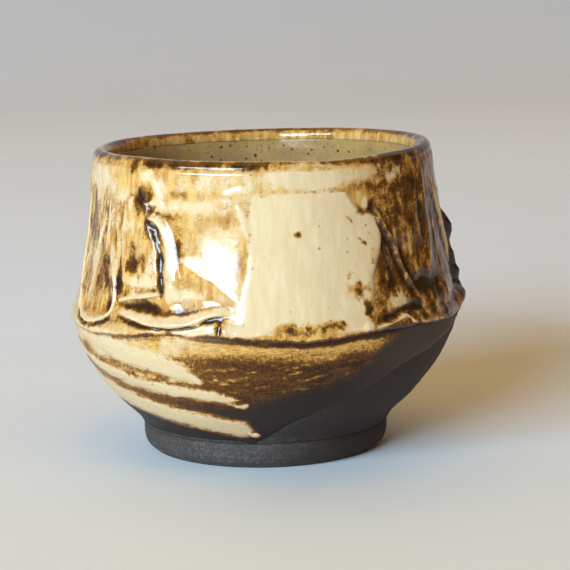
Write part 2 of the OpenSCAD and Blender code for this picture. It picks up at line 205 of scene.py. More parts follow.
# Stains of the glaze, by what they deepen: degrees, mm up, half sizes in mm round and up, strength
STAINS = {
    "amber": [
        (6, 40, 4, 1.7, 1), (13, 39.3, 5, 1.3, 0.9), (19, 40.4, 3.6, 1.6, 1), (27, 49, 2.4, 2.2, 0.9),
        (25.5, 53.5, 1.1, 1.3, 0.5), (32, 45.5, 1.1, 4.5, 0.6), (34.5, 57, 1.1, 2.6, 0.6),
        (-6.8, 56, 1.5, 7, 0.9), (-4.6, 66, 1, 5, 0.4), (10.4, 63.4, 1.1, 1.5, 0.5),
        (4.5, 73.9, 9, 0.5, 0.6), (17, 75.2, 7, 0.5, 0.6), (11.6, 70, 0.7, 4, 0.4), (8.5, 46, 0.8, 3, 0.3),
        (31, 42, 1.1, 2.4, 0.4), (33.5, 62, 1.4, 1.6, 0.5), (170, 41, 6, 1.6, 0.9),
        (188, 50, 2.5, 3.5, 0.6)],
    "cream": [
        (-20, 70.5, 8, 2.2, 0.55), (-37, 70, 4, 1.6, 0.5), (14, 77.3, 11, 2.6, 0.9), (-66, 76, 9, 3, 0.7),
        (-33.6, 74.5, 1.6, 2.4, 0.6), (-39.5, 78, 2.2, 1.6, 0.6), (-14, 62, 6, 5, 0.35),
        (-40, 50.5, 5, 1.6, 0.5), (-18, 76, 10, 2.5, 0.3), (-22, 48.5, 5, 1.4, 0.5),
        (44.5, 44.8, 4.4, 2.3, 1.3), (51, 56, 2.6, 6, 0.42), (67, 41.2, 14, 1.8, 0.5),
        (47, 77, 9, 2.6, 0.6), (54, 66, 3, 4, 0.25), (40.4, 53.5, 0.6, 4, 0.8), (44, 66, 1.6, 4, 0.25),
        (-30, 58, 1.2, 8, 0.3), (-58, 37.6, 9, 1, 0.5), (-24, 39, 9, 0.8, 0.6), (33, 69.9, 1.2, 1.2, 0.7)],
    "iron": [
        (-43.1, 55.6, 1.6, 3.2, 0.5), (-48.7, 50.2, 1.3, 3.2, 0.55), (-56.7, 54.8, 0.9, 1.4, 0.6),
        (-52.3, 44.2, 1.4, 2, 0.7), (-58.5, 51, 2.2, 5, 0.2), (-54.4, 70, 4, 2.6, 0.25),
        (-71, 62, 3, 9, 0.2), (-64, 45, 5.5, 4.5, 0.12), (-26.3, 61, 1.6, 5, 0.6),
        (-30, 67.6, 1.5, 0.9, 0.6), (-26.6, 67.6, 0.9, 1.3, 0.65), (-27, 73.4, 4.5, 1.6, 0.26),
        (-40.5, 72, 2.6, 3.6, 0.5), (-37, 66.5, 1.6, 2.6, 0.4), (-12.2, 66, 2, 2, 0.3),
        (-7.2, 55.5, 1.5, 4.5, 0.35), (-45.3, 79.5, 1.6, 1.6, 0.8), (26.8, 48.9, 1.5, 1.2, 0.45),
        (6.7, 40, 3, 1.1, 0.6), (13, 39.3, 3, 0.9, 0.55), (19.3, 40.6, 3, 0.9, 0.65),
        (22.6, 41.2, 0.6, 0.6, 1.2), (31, 60, 0.9, 0.6, 0.7), (29.4, 61, 0.5, 0.6, 0.6),
        (27.4, 66.2, 0.5, 0.5, 0.9), (10.4, 63.4, 0.9, 1, 0.45), (17.6, 67.4, 0.4, 0.4, 0.6),
        (30.5, 44, 0.9, 1.8, 0.6), (31.2, 68.1, 1.6, 1, 0.9), (35, 69, 1.2, 1.4, 0.9),
        (33, 74.6, 6, 1.6, 0.4), (50, 74, 8, 2, 0.15), (55.5, 72, 4, 3, 0.2), (38, 53, 2, 8, 0.35),
        (36, 45, 2.2, 4, 0.35), (52, 61, 8, 10, 0.12), (58, 47.6, 7, 2, 1.5), (49, 42.4, 2.6, 1.3, 0.9),
        (68, 60, 7, 16, 0.15), (84, 55, 9, 14, 0.35), (65, 41, 9, 2.5, 0.2), (86, 41.5, 7, 3, 0.35),
        (-41, 44.9, 5, 1, 0.8), (-34.5, 44.6, 3.5, 1.1, 0.8), (-26, 43.7, 4, 0.8, 0.6),
        (105, 60, 14, 16, 0.35), (-100, 58, 12, 14, 0.3), (145, 48, 5, 8, 0.5)],
}

# How the rim dips, in mm, by degrees round; how the left and right sides stand out or in, in mm, by height
RIM_DIP = [
    (-180, -0.5), (-150, -0.5), (-117, -0.25), (-90, -0.45), (-60, -0.6), (-45, -0.45), (-30, -0.8),
    (-10, -1), (0, -1.15), (13, -1.45), (21, -1.75), (28, -1.6), (40, -1.25), (54, -0.95), (70, -0.7),
    (95, 0), (130, -0.1), (150, -0.2), (165, -0.4), (180, -0.5)]
LEFT_SET = [
    (8, 0), (10, -0.5), (14, -0.45), (18, -0.3), (21, -0.1), (23.5, 0.1), (25.5, 0.6), (28, 0.6), (31, 0.5),
    (33.5, 0.35), (36, 0.1), (38, -0.2), (45, -0.4), (52, -0.2), (58, -0.3), (64, -0.1), (70, 0)]
RIGHT_SET = [
    (8, 0), (13, -0.3), (16.3, -0.6), (19.6, -0.35), (21.5, 0.1), (24.5, 0.5), (29.3, 0.75), (32.6, 1.05),
    (34.2, 0.8), (36, 0.4), (38, 0.1), (60, 0), (69, -0.15), (70.7, -0.5), (74, -0.8), (79, -0.95),
    (82.5, -0.95)]
# How the belly is trimmed by the foot, in mm: height and spread of the cut, depth, more depth at the right
TRIM_Z, TRIM_SPREAD, TRIM_IN, TRIM_RIGHT = 10.5, 3.6, 0.75, 0.7
# How far the rim and the foot sit to the right, and over how many mm the belly's set fades out at the foot
RIM_LEAN, FOOT_LEAN, FOOT_FADE = 0.56, -0.45, 1.5

# Least thickness in mm of the bare coat and of the coat with slip on it, and the thickness at the lip
LEAST_COAT, LEAST_SLIP, LIP_COAT = 0.26, 0.28, 0.2
# How far in mm lines and patches of slip reach into the coat under them
SUNK = 0.2
# Tone of undersides
HIDDEN_TONE = (0.0, 1.0, 1.0, 1.0)

# The two glazes: stretch of their runs, strength of the cream, roughness, specular level, and depth in mm
# of the bumps from blots, runs, fine grain and freckles
GLAZES = {
    "wall_glaze": ((1, 1, 0.16), 1.0, 0.05, 0.42, (0.05, 0.018, 0.012, 0.004)),
    "belly_glaze_brown": ((1, 1, 5.5), 0.92, 0.30, 0.18, (0.05, 0.05, 0.028, 0.004)),
}

# Camera: lens and sensor in mm, place in metres, tilt down and roll in radians
CAMERA_LENS, CAMERA_SENSOR = 127.35, 36.0
CAMERA_AT = (0.00554, -0.540, 0.13214)
CAMERA_DOWN, CAMERA_ROLL = 0.1635, -0.0184
# Lamps: degrees round from the front and up, metres away, size in metres, power in watts, colour
LAMPS = {
    "window": (-26.5, 10.6, 1.25, (0.44, 0.13), 5.6, (0.84, 1.0, 1.24)),
    "sky": (-37, 22.5, 4.0, (3.0, 1.0), 190.0, (0.70, 1.0, 1.25)),
    "ceiling": (180, 76, 2.4, (4.2, 4.2), 34.0, (1.0, 0.59, 0.13)),
}
# Height in metres that the lamps are aimed at
AIM_Z = 0.055
FILL_COLOUR, FILL_STRENGTH = (1.0, 0.60, 0.15), 0.18
# Floor: radius of its sweep in metres, then its colour by the bowl, behind it, far back and in its blots
SWEEP_R = 1.2
FLOOR_NEAR, FLOOR_BEHIND, FLOOR_FAR = (0.78, 0.785, 0.775), (0.80, 0.86, 0.97), (0.46, 0.49, 0.56)
FLOOR_BLOT = (0.6, 0.6, 0.6)


def length(name, description, default):
    """Property for a length."""
    return FloatProperty(name=name, description=description, default=default, unit="LENGTH")


def tint(name, description, default):
    """Property for a colour."""
    return FloatVectorProperty(name=name, description=description, default=default, subtype="COLOR", size=3)


class TeaBowlSizes(bpy.types.PropertyGroup):
    """Sizes of the turned bowl and its coats."""

    bowl_h: length("Height", "Table to the top of the clay lip", 0.082)
    rim_d: length("Rim", "Outside diameter of the clay under the lip", 0.0904)
    waist_d: length("Waist", "Outside diameter of the clay at the waist", 0.1032)
    waist_h: length("Waist height", "Height of the waist", 0.0375)
    wall_bow: length("Wall bow", "How far the wall bows inwards", 0.0014)
    belly_bow: length("Belly bow", "How far the belly bows outwards", 0.0029)
    wall_t: length("Wall", "Wall thickness at the waist", 0.0048)
    lip_t: length("Lip", "Wall thickness at the lip", 0.0036)
    floor_t: length("Floor", "Thickness of the floor", 0.0062)
    foot_d: length("Foot", "Outside diameter of the foot ring", 0.066)
    foot_h: length("Foot height", "Height of the foot ring outside", 0.007)
    foot_w: length("Foot width", "Width of the foot ring where it stands", 0.007)
    recess_h: length("Recess", "Depth of the hollow under the bowl", 0.0052)
    liner_t: length("Liner", "Thickness of the glaze inside", 0.0004)
    slip_t: length("Slip coat", "Thickness of the slip on the wall", 0.0008)
    glaze_t: length("Belly glaze", "Thickness of the glaze on the belly", 0.0003)
    rim_band_h: length("Rim band", "How far the dark band comes down", 0.0026)
    rim_rise: length("Rim rise", "How much higher the rim is at the right", 0.0006)
    specks: IntProperty(name="Specks", description="Iron specks in each square centimetre",
                        default=16, min=0, max=40)


class TeaBowlColours(bpy.types.PropertyGroup):
    """Colours of clay, slip and glaze."""

    cream: tint("Cream slip", "Thick slip", (0.655, 0.465, 0.25))
    pale: tint("Pale crest", "Slip on the crests", (0.73, 0.54, 0.31))
    honey: tint("Honey glaze", "Glaze over thin slip", (0.67, 0.395, 0.112))
    amber: tint("Amber glaze", "Glaze where it runs", (0.43, 0.185, 0.033))
    brown: tint("Brown glaze", "Glaze where it gathers", (0.125, 0.044, 0.0075))
    # Iron also gives the painted shade in the cracks and on the clay's right side
    iron: tint("Iron", "Glaze in cracks and on the rim", (0.035, 0.014, 0.006))
    clay: tint("Clay", "Bare fired clay", (0.063, 0.048, 0.040))
    dusk: tint("Thin wash", "Thin dark wash low on the belly", (0.024, 0.0155, 0.0115))
    khaki: tint("Liner", "Glaze inside", (0.305, 0.188, 0.078))


def sizes():
    """Sizes set in the scene."""
    return bpy.context.scene.tea_bowl_sizes


def colours():
    """Colours set in the scene."""
    return bpy.context.scene.tea_bowl_colours


# Turned shape

class Turned:
    """Turned shape of the bowl in millimetres, from the sizes."""

    KEPT = ("waist_h", "wall_bow", "wall_t", "lip_t", "foot_h", "foot_w", "liner_t", "slip_t", "glaze_t",
            "rim_rise")

    def __init__(self, s):
        for name in self.KEPT:
            setattr(self, name, getattr(s, name) / MM)
        self.top = s.bowl_h / MM
        self.rim_r = s.rim_d / MM / 2
        self.waist_r = s.waist_d / MM / 2
        self.foot_r = s.foot_d / MM / 2
        self.recess = s.recess_h / MM
        self.floor_z = self.recess + s.floor_t / MM
        self.lip_r = self.lip_t / 2
        self.lip_z = self.top - self.lip_r
        self.rim_low = self.top - s.rim_band_h / MM
        bow = s.belly_bow / MM
        chord = np.array([self.waist_r - self.foot_r, self.waist_h - self.foot_h])
        span = np.hypot(*chord)
        self.arc_r = (span ** 2 / 4 + bow ** 2) / (2 * bow)
        middle = np.array([self.foot_r + self.waist_r, self.foot_h + self.waist_h]) / 2
        self.arc_c = middle + (self.arc_r - bow) / span * np.array([-chord[1], chord[0]])

    def clay(self, z):
        """Outside radius of the clay at height z."""
        z = np.asarray(z, float)
        t = (z - self.waist_h) / (self.top - self.waist_h)
        wall = self.waist_r + (self.rim_r - self.waist_r) * t - 4 * self.wall_bow * t * (1 - t)
        belly = self.arc_c[0] + np.sqrt(np.maximum(self.arc_r ** 2 - (z - self.arc_c[1]) ** 2, 0))
        return np.where(z >= self.waist_h, wall, belly)

    def well(self, z):
        """Inside radius of the clay above the waist."""
        thick = self.wall_t + (self.lip_t - self.wall_t) * (z - self.waist_h) / (self.lip_z - self.waist_h)
        return self.clay(z) - thick

    def well_curve(self, top, inset):
        """Inside of the bowl from the middle of the floor up to height top, as radius and height."""
        a = np.linspace(math.pi / 2, 0, 60)
        power = 2 / 2.4
        low = np.stack([(self.waist_r - self.wall_t - inset) * np.cos(a) ** power,
                        self.waist_h - (self.waist_h - self.floor_z - inset) * np.sin(a) ** power], -1)
        low[0, 0] = 0.0
        z = np.linspace(self.waist_h, top, 60)[1:]
        return np.concatenate([low, np.stack([self.well(z) - inset, z], -1)])

    def lip(self, grow, start, end, count):
        """Arc round the lip, grown by so many mm, as radius and height."""
        a = np.linspace(start, end, count) * DEG
        middle = float(self.clay(self.lip_z)) - self.lip_r
        r = self.lip_r + grow
        return np.stack([middle + r * np.cos(a), self.lip_z + r * np.sin(a)], -1)

    def on_wall(self, points):
        """Points of degrees and percent up the wall, in degrees and mm."""
        return [(a, self.waist_h + (self.top - self.waist_h) * q / 100) for a, q in points]

    def on_belly(self, points):
        """Points of degrees and percent up the belly, in degrees and mm."""
        return [(a, self.foot_h + (self.waist_h - self.foot_h) * q / 100) for a, q in points]


def settle(points, turned):
    """Hand-made set of the bowl: a dipping rim that rises to the right, a belly trimmed by the foot."""
    p = np.array(points, float)
    x, y, z = p[..., 0], p[..., 1], p[..., 2]
    up = np.clip((z - turned.waist_h) / (turned.top - turned.waist_h), 0, 1)
    r = np.maximum(np.hypot(x, y), 1e-6)
    outside = np.clip((r - turned.foot_r + FOOT_FADE) / (2 * FOOT_FADE), 0, 1)
    outside = outside * np.clip((z - turned.foot_h) / FOOT_FADE, 0, 1)
    trimmed = np.exp(-((z - TRIM_Z) / TRIM_SPREAD) ** 2)
    out_by = -(TRIM_IN + TRIM_RIGHT * np.clip(x / r, 0, 1)) * trimmed
    for table, way in ((LEFT_SET, -1), (RIGHT_SET, 1)):
        out_by = out_by + read(table, z) * np.clip(way * x / r, 0, 1) ** 2
    grow = 1 + out_by * outside / r
    foot = np.clip((turned.foot_h + FOOT_FADE - z) / FOOT_FADE, 0, 1)
    dip = read(RIM_DIP, np.degrees(np.arctan2(x, -y))) * up ** 6
    out = np.empty_like(p)
    out[..., 0] = x * grow + RIM_LEAN * up + FOOT_LEAN * foot
    out[..., 1] = y * grow
    out[..., 2] = z + turned.rim_rise / turned.rim_r / 2 * x * up + dip
    return out


# Noise and curves

def lattice(ix, iy, iz, seed):
    """Repeatable number from -1 to 1 for each whole-number place."""
    h = (ix * 374761393 + iy * 668265263 + iz * 1442695041 + seed * 974711) & 0xFFFFFFFF
    h = ((h ^ (h >> 13)) * 1274126177) & 0xFFFFFFFF
    h = h ^ (h >> 16)
    return (h & 0xFFFF) / 32767.5 - 1.0


def noise(points, size, seed, octaves=3, rough=0.5):
    """Smooth noise of about -1 to 1 at the points, with blots of a size in mm, one or three numbers."""
    total, weight, norm = 0.0, 1.0, 0.0
    for k in range(octaves):
        q = points / np.asarray(size, float) * 2 ** k + 17.3 * k
        i = np.floor(q).astype(np.int64)
        f = q - i
        f = f * f * (3 - 2 * f)
        v = 0.0
        for corner in itertools.product((0, 1), repeat=3):
            wx, wy, wz = (f[..., n] if d else 1 - f[..., n] for n, d in enumerate(corner))
            x, y, z = (i[..., n] + d for n, d in enumerate(corner))
            v = v + wx * wy * wz * lattice(x, y, z, seed + k)
        total = total + weight * v
        norm += weight
        weight *= rough
    return total / norm * 1.6


def ease(a, b, x):
    """0 at a and before it, 1 at b and past it, smooth between."""
    t = np.clip((x - a) / (b - a), 0, 1)
    return t * t * (3 - 2 * t)


def read(table, x):
    """Value of a table of pairs at x, straight between its rows."""
    at, by = np.array(table, float).T
    return np.interp(x, at, by)


def curve(points, steps):
    """Smooth line through the points."""
    p = np.array(points, float)
    q = np.concatenate([p[:1], p, p[-1:]])
    t = (np.arange(steps) / steps)[:, None]
    out = []
    for a, b, c, d in zip(q[:-3], q[1:-2], q[2:-1], q[3:]):
        bend = (2 * a - 5 * b + 4 * c - d) * t ** 2 + (3 * b - a - 3 * c + d) * t ** 3
        out.append(0.5 * (2 * b + (c - a) * t + bend))
    return np.concatenate(out + [p[-1:]])


def even(line, step):
    """The same line with points every step mm."""
    run = np.concatenate([[0], np.cumsum(np.hypot(*np.diff(line * FLAT, axis=0).T))])
    at = np.linspace(0, run[-1], max(6, int(run[-1] / step) + 1))
    return np.stack([np.interp(at, run, line[:, 0]), np.interp(at, run, line[:, 1])], -1)


def turn_out(ang, r, z):
    """Points in mm from angle, radius and height."""
    return np.stack([r * np.sin(ang * DEG), -r * np.cos(ang * DEG), z + 0 * r], -1)


# The coat: relief and tone of the whole outside

class Coat:
    """Relief in mm over the clay, and tone of the glaze, on a net of angle and height."""

    def __init__(self, turned):
        self.turned = turned
        self.ang = np.arange(-180, 180, NET_TURN)
        self.z = np.arange(NET_LOW, NET_HIGH, NET_RISE)
        self.a2, self.z2 = np.meshgrid(self.ang, self.z, indexing="ij")
        self.place = turn_out(self.a2, NET_R, self.z2)
        self.stray = [0.8 * noise(self.place, 2.4, seed, 3, 0.6) for seed in (45, 46)]
        self.ragged = 0.3 * noise(self.place, 5, 61, 2)
        self.edge = read(COAT_EDGE, self.ang) + 0.35 * noise(self.place[:, :1], 7, 40, 4, 0.6)[:, 0]
        self.coat_ground()
        self.cracks_and_creases()
        self.laid_slip()
        self.waist_roll()
        self.wall_heights()
        self.belly_heights()
        self.wall_tone()
        self.belly_tone()

    def turn(self, ref):
        """Angles of the net, counted so that those near ref run on without a jump."""
        return (self.ang - ref + 180) % 360 - 180 + ref

    def line(self, line, reach):
        """Distance in mm to the left of a line, or FAR, and how far along it each place lies."""
        ang = self.turn(line[:, 0].mean())
        cols = np.where((ang > line[:, 0].min() - reach / ARC) & (ang < line[:, 0].max() + reach / ARC))[0]
        rows = np.where((self.z > line[:, 1].min() - reach) & (self.z < line[:, 1].max() + reach))[0]
        s, z = np.meshgrid(ang[cols] * ARC, self.z[rows], indexing="ij")
        flat = line * FLAT
        part = np.linspace(0, 1, len(line))
        near = np.full(s.shape, FAR)
        along = np.zeros(s.shape)
        side = np.ones(s.shape)
        for k in range(len(flat) - 1):
            a, d = flat[k], flat[k + 1] - flat[k]
            t = np.clip(((s - a[0]) * d[0] + (z - a[1]) * d[1]) / max(d @ d, 1e-9), 0, 1)
            dist = np.hypot(s - a[0] - t * d[0], z - a[1] - t * d[1])
            closer = dist < near
            near = np.where(closer, dist, near)
            along = np.where(closer, part[k] + t * (part[k + 1] - part[k]), along)
            side = np.where(closer, np.sign(d[0] * (z - a[1]) - d[1] * (s - a[0])), side)
        whole = np.full(self.a2.shape, FAR)
        share = np.zeros(self.a2.shape)
        whole[np.ix_(cols, rows)] = near * side
        share[np.ix_(cols, rows)] = along
        return whole, share

    def stroke(self, points, reach, half, bend, ends):
        """Soft stroke along a line, 1 on it, fading over its half width and towards its ends."""
        d, s = self.line(curve(points, 6), reach)
        return np.exp(-((d + bend) / half) ** 2) * np.clip(np.minimum(s, 1 - s) * ends, 0, 1)

    def spot(self, ang, z, wide, high):
        """Soft oval, 1 in its middle."""
        s = ((self.a2 - ang + 180) % 360 - 180) * ARC
        return np.exp(-((s + self.stray[0]) / wide) ** 2 - ((self.z2 - z + self.stray[1]) / high) ** 2)

    def stains(self, kind, share=1.0):
        """All stains of one kind together, each drawn at a share of its size."""
        return sum(strength * self.spot(ang, up, wide * share, high * share)
                   for ang, up, wide, high, strength in STAINS[kind])

    def between(self, left, right, soft):
        """1 inside a patch between two edges, easing to 0 over the mm for its left border and the rest."""
        l, r = np.array(left, float), np.array(right, float)
        ang = self.turn((l[:, 0].mean() + r[:, 0].mean()) / 2)[:, None]
        lo = np.interp(self.z, l[:, 1], l[:, 0])[None, :]
        hi = np.interp(self.z, r[:, 1], r[:, 0])[None, :]
        near = (ang - lo) * ARC + self.ragged
        rest = np.minimum((hi - ang) * ARC, np.minimum(self.z2 - l[0, 1], l[-1, 1] - self.z2)) + self.ragged
        return ease(0, 1, near / soft[0]) * ease(0, soft[1], rest)

    def coat_ground(self):
        """The coat by itself: gently uneven, with the dragged tongue, wrinkles and swellings."""
        p, a, z = self.place, self.a2, self.z2

        # Gently uneven all over, calmest left of the panel
        calm = 1 - 0.85 * np.exp(-((a + 14) / 11) ** 4 - ((z - 55) / 12) ** 4)
        low = self.turned.slip_t + calm * (0.2 * noise(p, 14, 1, 2) + 0.05 * noise(p, 3.5, 2, 2))

        # Tongue dragged down the left, fine wrinkles above it, and streaks at the right
        self.tongue = self.between(*TONGUE, (3.0, 3.0))
        low += self.tongue * (-0.5 + 0.2 * noise(p, (1.5, 1.5, 15), 3, 2))
        wrinkled = ease(58, 70, z) * ease(-95, -75, a) * ease(-48, -62, a)
        low += 0.16 * wrinkled * noise(p, (1.1, 1.1, 9), 4, 2)
        right = ease(36, 46, a) * ease(112, 92, a)
        low += 0.14 * right * noise(p, (2.2, 2.2, 10), 5, 3)

        # Upright swelling and lump at the right, swelling right of the hook and a slanting hollow under it
        low += 0.6 * np.exp(-((a - 61) / 2.6) ** 2) * ease(47, 56, z) * ease(79, 74, z)
        low += 0.7 * self.spot(70, 44.5, 6, 3)
        low += 0.5 * np.exp(-((a + 21) / 6.5) ** 2 - ((z - 53.2) / 4.0) ** 2)
        slant = z + 0.53 * (a + 10)
        low -= 0.5 * ease(48.8, 45.0, slant) * ease(41.6, 43.4, z) * ease(-27, -23, a) * ease(-6, -10, a)
        self.low = low

    def cracks_and_creases(self):
        """Sinks the cracks and hollows into the coat and raises its fine creases."""
        uneven = 1 + 0.5 * noise(self.place, 3, 47, 2)
        broken = 0.85 + 0.4 * noise(self.place, 2, 48, 2)
        # The crack mask darkens the glaze: pooled dark glaze, and painted shade in the cracks
        self.crack_pool_and_shade = np.zeros_like(self.low)
        for depth, half, points in CRACKS:
            dip = self.stroke(points, half * 3 + 1, half * uneven, 0.35 * self.stray[0], 6) * broken
            self.low -= depth * dip
            self.crack_pool_and_shade = np.maximum(self.crack_pool_and_shade, dip * min(1, depth * 1.4))
        self.crease = np.zeros_like(self.low)
        for rise, half, points in CREASES:
            fold = self.stroke(points, half * 3 + 1, half, 0.3 * self.stray[1], 5)
            self.low += rise * fold
            self.crease = np.maximum(self.crease, fold)
        self.dents = sum(depth * self.spot(*place) for *place, depth in HOLLOWS)
        self.low = self.low - self.dents

    def laid_slip(self):
        """Height of each line and patch of slip over the coat, and where it is pale or brown."""
        self.parts, self.cover = {}, {}
        self.pale = np.zeros_like(self.low)
        self.brown = np.zeros_like(self.low)
        for name, (slot, wide, high, lean, swell, points) in WALL_LINES.items():
            d, s = self.line(curve(self.turned.on_wall(points), 8), wide)
            lumps = 1 + 0.2 * noise(self.place, 4.5, 70 + len(self.parts), 2)
            x = d / (wide / 2 * np.interp(s, [0, 0.5, 1], swell))
            rise = np.minimum((x + 1) / (1 + lean), (1 - x) / (1 - lean))
            body = ease(0, 1, rise) ** 0.8
            if name == "hook_ridge":
                body = 0.4 * body + 0.6 * np.clip(rise, 0, 1)
            if name == "fin_ridge":
                body = body * read(FIN_OUTLINE, self.z2)
            else:
                start, end = LINE_TIPS.get(name, USUAL_TIPS)
                body = body * ease(0, start, s) * ease(1, end, s)
            self.parts[name] = high * body * lumps
            crests = self.pale if slot == "pale_slip" else self.brown
            np.maximum(crests, body, out=crests)
        streaks = 1 + 0.12 * noise(self.place, (6, 6, 18), 90, 2)
        for name, (slot, thick, soft, left, right) in PATCHES.items():
            sides = self.turned.on_wall(left), self.turned.on_wall(right)
            self.parts[name] = thick * self.between(*sides, soft) * streaks
            self.cover[name] = self.between(*sides, COVER_SOFT.get(name, USUAL_COVER_SOFT))
        self.parts["left_slab"] = np.maximum(self.parts["left_slab"] - self.dents, 0)

    def waist_roll(self):
        """Height of the rolled lower edge over the coat: thin at the left, flat under the wave."""
        a, z = self.a2, self.z2
        roll = 1 - ((z - self.edge[:, None] - 1.5) / 2.1) ** 2
        band = (0.75 + 0.35 * noise(self.place, 7, 8, 2)) * np.maximum(roll, 0)
        band = band * (1 - 0.75 * ease(-66, -76, a) * ease(-112, -100, a))
        flat = ease(-33, -29, a) * ease(-11.5, -13.5, a)
        band = band * (1 - flat) + flat * (0.35 + 0.085 * (z - 38.5)) * ease(0, 0.5, roll)
        under_panel = self.between([(-11, 36), (-11, 42)], [(30, 36), (30, 42)], (2.0, 2.0))
        self.parts["waist_band"] = band * (1 - 0.6 * under_panel)

    def wall_heights(self):
        """Coat and slip together, thinned to the lip and never thinner than a skin."""
        self.high = self.low + sum(self.parts.values())
        fade = ease(self.turned.lip_z + 0.4, self.turned.rim_low - 0.5, self.z2)
        self.low, self.high = (np.maximum(h, least) * fade + LIP_COAT * (1 - fade)
                               for h, least in ((self.low, LEAST_COAT), (self.high, LEAST_SLIP)))

    def belly_heights(self):
        """Relief of the belly: thin glaze and the finger swipes on it."""
        p = self.place
        self.belly_low = self.turned.glaze_t + 0.04 * noise(p, 6, 20, 2)
        self.belly_high = self.belly_low.copy()
        self.swipes = 0
        ragged = 0.4 * self.stray[0] + 0.5 * noise(p, (6, 6, 0.9), 35, 3)
        bristles = ease(-0.1, 0.5, noise(p, (7, 7, 0.8), 36, 2))
        for name, (slot, wide, tall, swell, points) in BELLY_LINES.items():
            d, s = self.line(curve(self.turned.on_belly(points), 8), wide)
            half = wide / 2 * np.interp(s, np.linspace(0, 1, 5), swell)
            off = (np.abs(d) + ragged) / half
            self.parts[name] = tall * ease(1.0, 0.4, off)
            frayed = bristles * ease(0.84, 1.0, s) if name in FRAYED else 0
            self.swipes = np.maximum(self.swipes, ease(1.25, 0.35, off) * (1 - frayed))
            self.belly_high = self.belly_high + self.parts[name]

    def blur(self, field, size):
        """Field softened over size mm."""
        pad = 40
        f = np.pad(field, ((0, 0), (pad, pad)), mode="edge")
        kx = np.fft.fftfreq(f.shape[0], NET_TURN * ARC)[:, None]
        ky = np.fft.rfftfreq(f.shape[1], NET_RISE)[None, :]
        g = np.exp(-2 * (math.pi * size) ** 2 * (kx ** 2 + ky ** 2))
        return np.fft.irfft2(np.fft.rfft2(f) * g, f.shape)[:, pad:-pad]

    def wall_tone(self):
        """Shares of cream and of iron in the glaze on the wall; the iron share also carries painted shade in
        the cracks and along the coat's lower edge.
        """
        p, a, z = self.place, self.a2, self.z2
        crest = np.clip((self.high - self.blur(self.high, 1.2)) / 0.3, -2, 2)
        blots = noise(p, 6.5, 11, 4, 0.6)
        runs = noise(p, (1.6, 1.6, 12), 12, 3)
        spots = noise(p, 2.6, 14, 3, 0.6)
        cream = 0.30 + 0.26 * blots + 0.10 * runs + 0.10 * np.maximum(crest, 0)
        iron = 0.14 + 0.16 * noise(p, 4.5, 13, 4, 0.6) + 0.30 * np.maximum(-crest, 0)

        # Streaks like bark at the left, and the tongue
        bark = ease(-98, -80, a) * ease(-31, -36, a) * ease(43, 48, z) * ease(77, 71, z)
        knots = noise(p, (2.1, 2.1, 5.5), 15, 3, 0.6)
        iron += bark * (0.03 + 0.46 * ease(0.1, 0.7, knots))
        cream += bark * (0.55 * ease(0.0, 0.6, -knots) + 0.02)
        iron += self.tongue * (0.06 + 0.16 * runs)
        cream -= 0.06 * self.tongue

        # Brown runs at the right and round the back
        right = ease(33, 41, a) * ease(125, 100, a)
        flow = noise(p, (1.2, 1.2, 3.4), 17, 4, 0.7)
        iron += right * (0.42 + 0.3 * spots + 0.42 * flow)
        cream -= right * (0.24 + 0.3 * flow)
        back = ease(95, 130, a) + ease(-85, -115, a)
        iron += back * (0.10 + 0.3 * noise(p, (3, 3, 7), 16, 3, 0.6))

        # Stains, and the panels that show them more plainly
        creamed = self.stains("cream")
        ambered = self.stains("amber") * (1 + 0.3 * spots)
        stained = self.stains("iron", 0.9) * (1 + 0.5 * spots)
        cream += creamed - 0.5 * stained
        iron += stained - 0.5 * creamed
        panel = np.maximum(self.cover["cream_panel"], self.cover["back_panel"])
        cream = cream * (1 - panel) + panel * (0.98 - 0.9 * stained - ambered + 0.16 * runs + 0.12 * blots)
        iron = iron * (1 - panel) + panel * (stained * 0.9 + ambered * (0.15 + 1.0 * np.maximum(spots, 0)))

        # Ridges, creases, and cracks darkened by pooled glaze and painted shade
        pale = self.pale ** 0.7
        cream += pale * (0.62 + 0.25 * blots) * (1 - 0.3 * right)
        iron -= 0.5 * pale
        cream -= 0.2 * self.brown
        iron += 0.15 * self.brown
        cream += 0.4 * self.crease * (1 - 0.5 * right)
        iron -= 0.3 * self.crease * (1 - 0.3 * right)
        # Painted shade, with pooled dark glaze, in the cracks
        iron += 1.1 * self.crack_pool_and_shade
        cream -= 0.6 * self.crack_pool_and_shade
        strip = self.stroke(FIN_STRIP, 3.5, 0.95, 0.25 * self.stray[0], 6)
        cream = cream * (1 - strip) + (1.0 + 0.3 * spots) * strip
        iron = iron * (1 - strip)

        # Painted shade along the coat's lower edge, where it rolls over, and iron that runs down from the rim
        iron += 0.75 * ease(1.0, 0.1, z - self.edge[:, None] + 0.4 * spots) * (1 - 0.5 * panel)
        ring = p[:, 0] * np.array([1.0, 1.0, 0.0])
        drips = np.maximum(noise(ring, 3.0, 50, 3, 0.65), 0) * 1.5 + 0.6 * noise(ring, 13, 51, 2)
        bare = np.exp(-((self.ang - 15) / 7.5) ** 2)
        run = (81.6 - np.clip(drips, -0.5, 2.4) + 1.3 * bare)[:, None]
        rim = ease(run - 1.1, run + 0.5, z + 0.35 * spots + 0.4 * noise(p, 1.6, 52, 2))
        self.cream = cream - 0.35 * rim
        self.iron = iron + rim * (0.58 + 0.5 * spots)
        self.dry = np.zeros_like(cream)

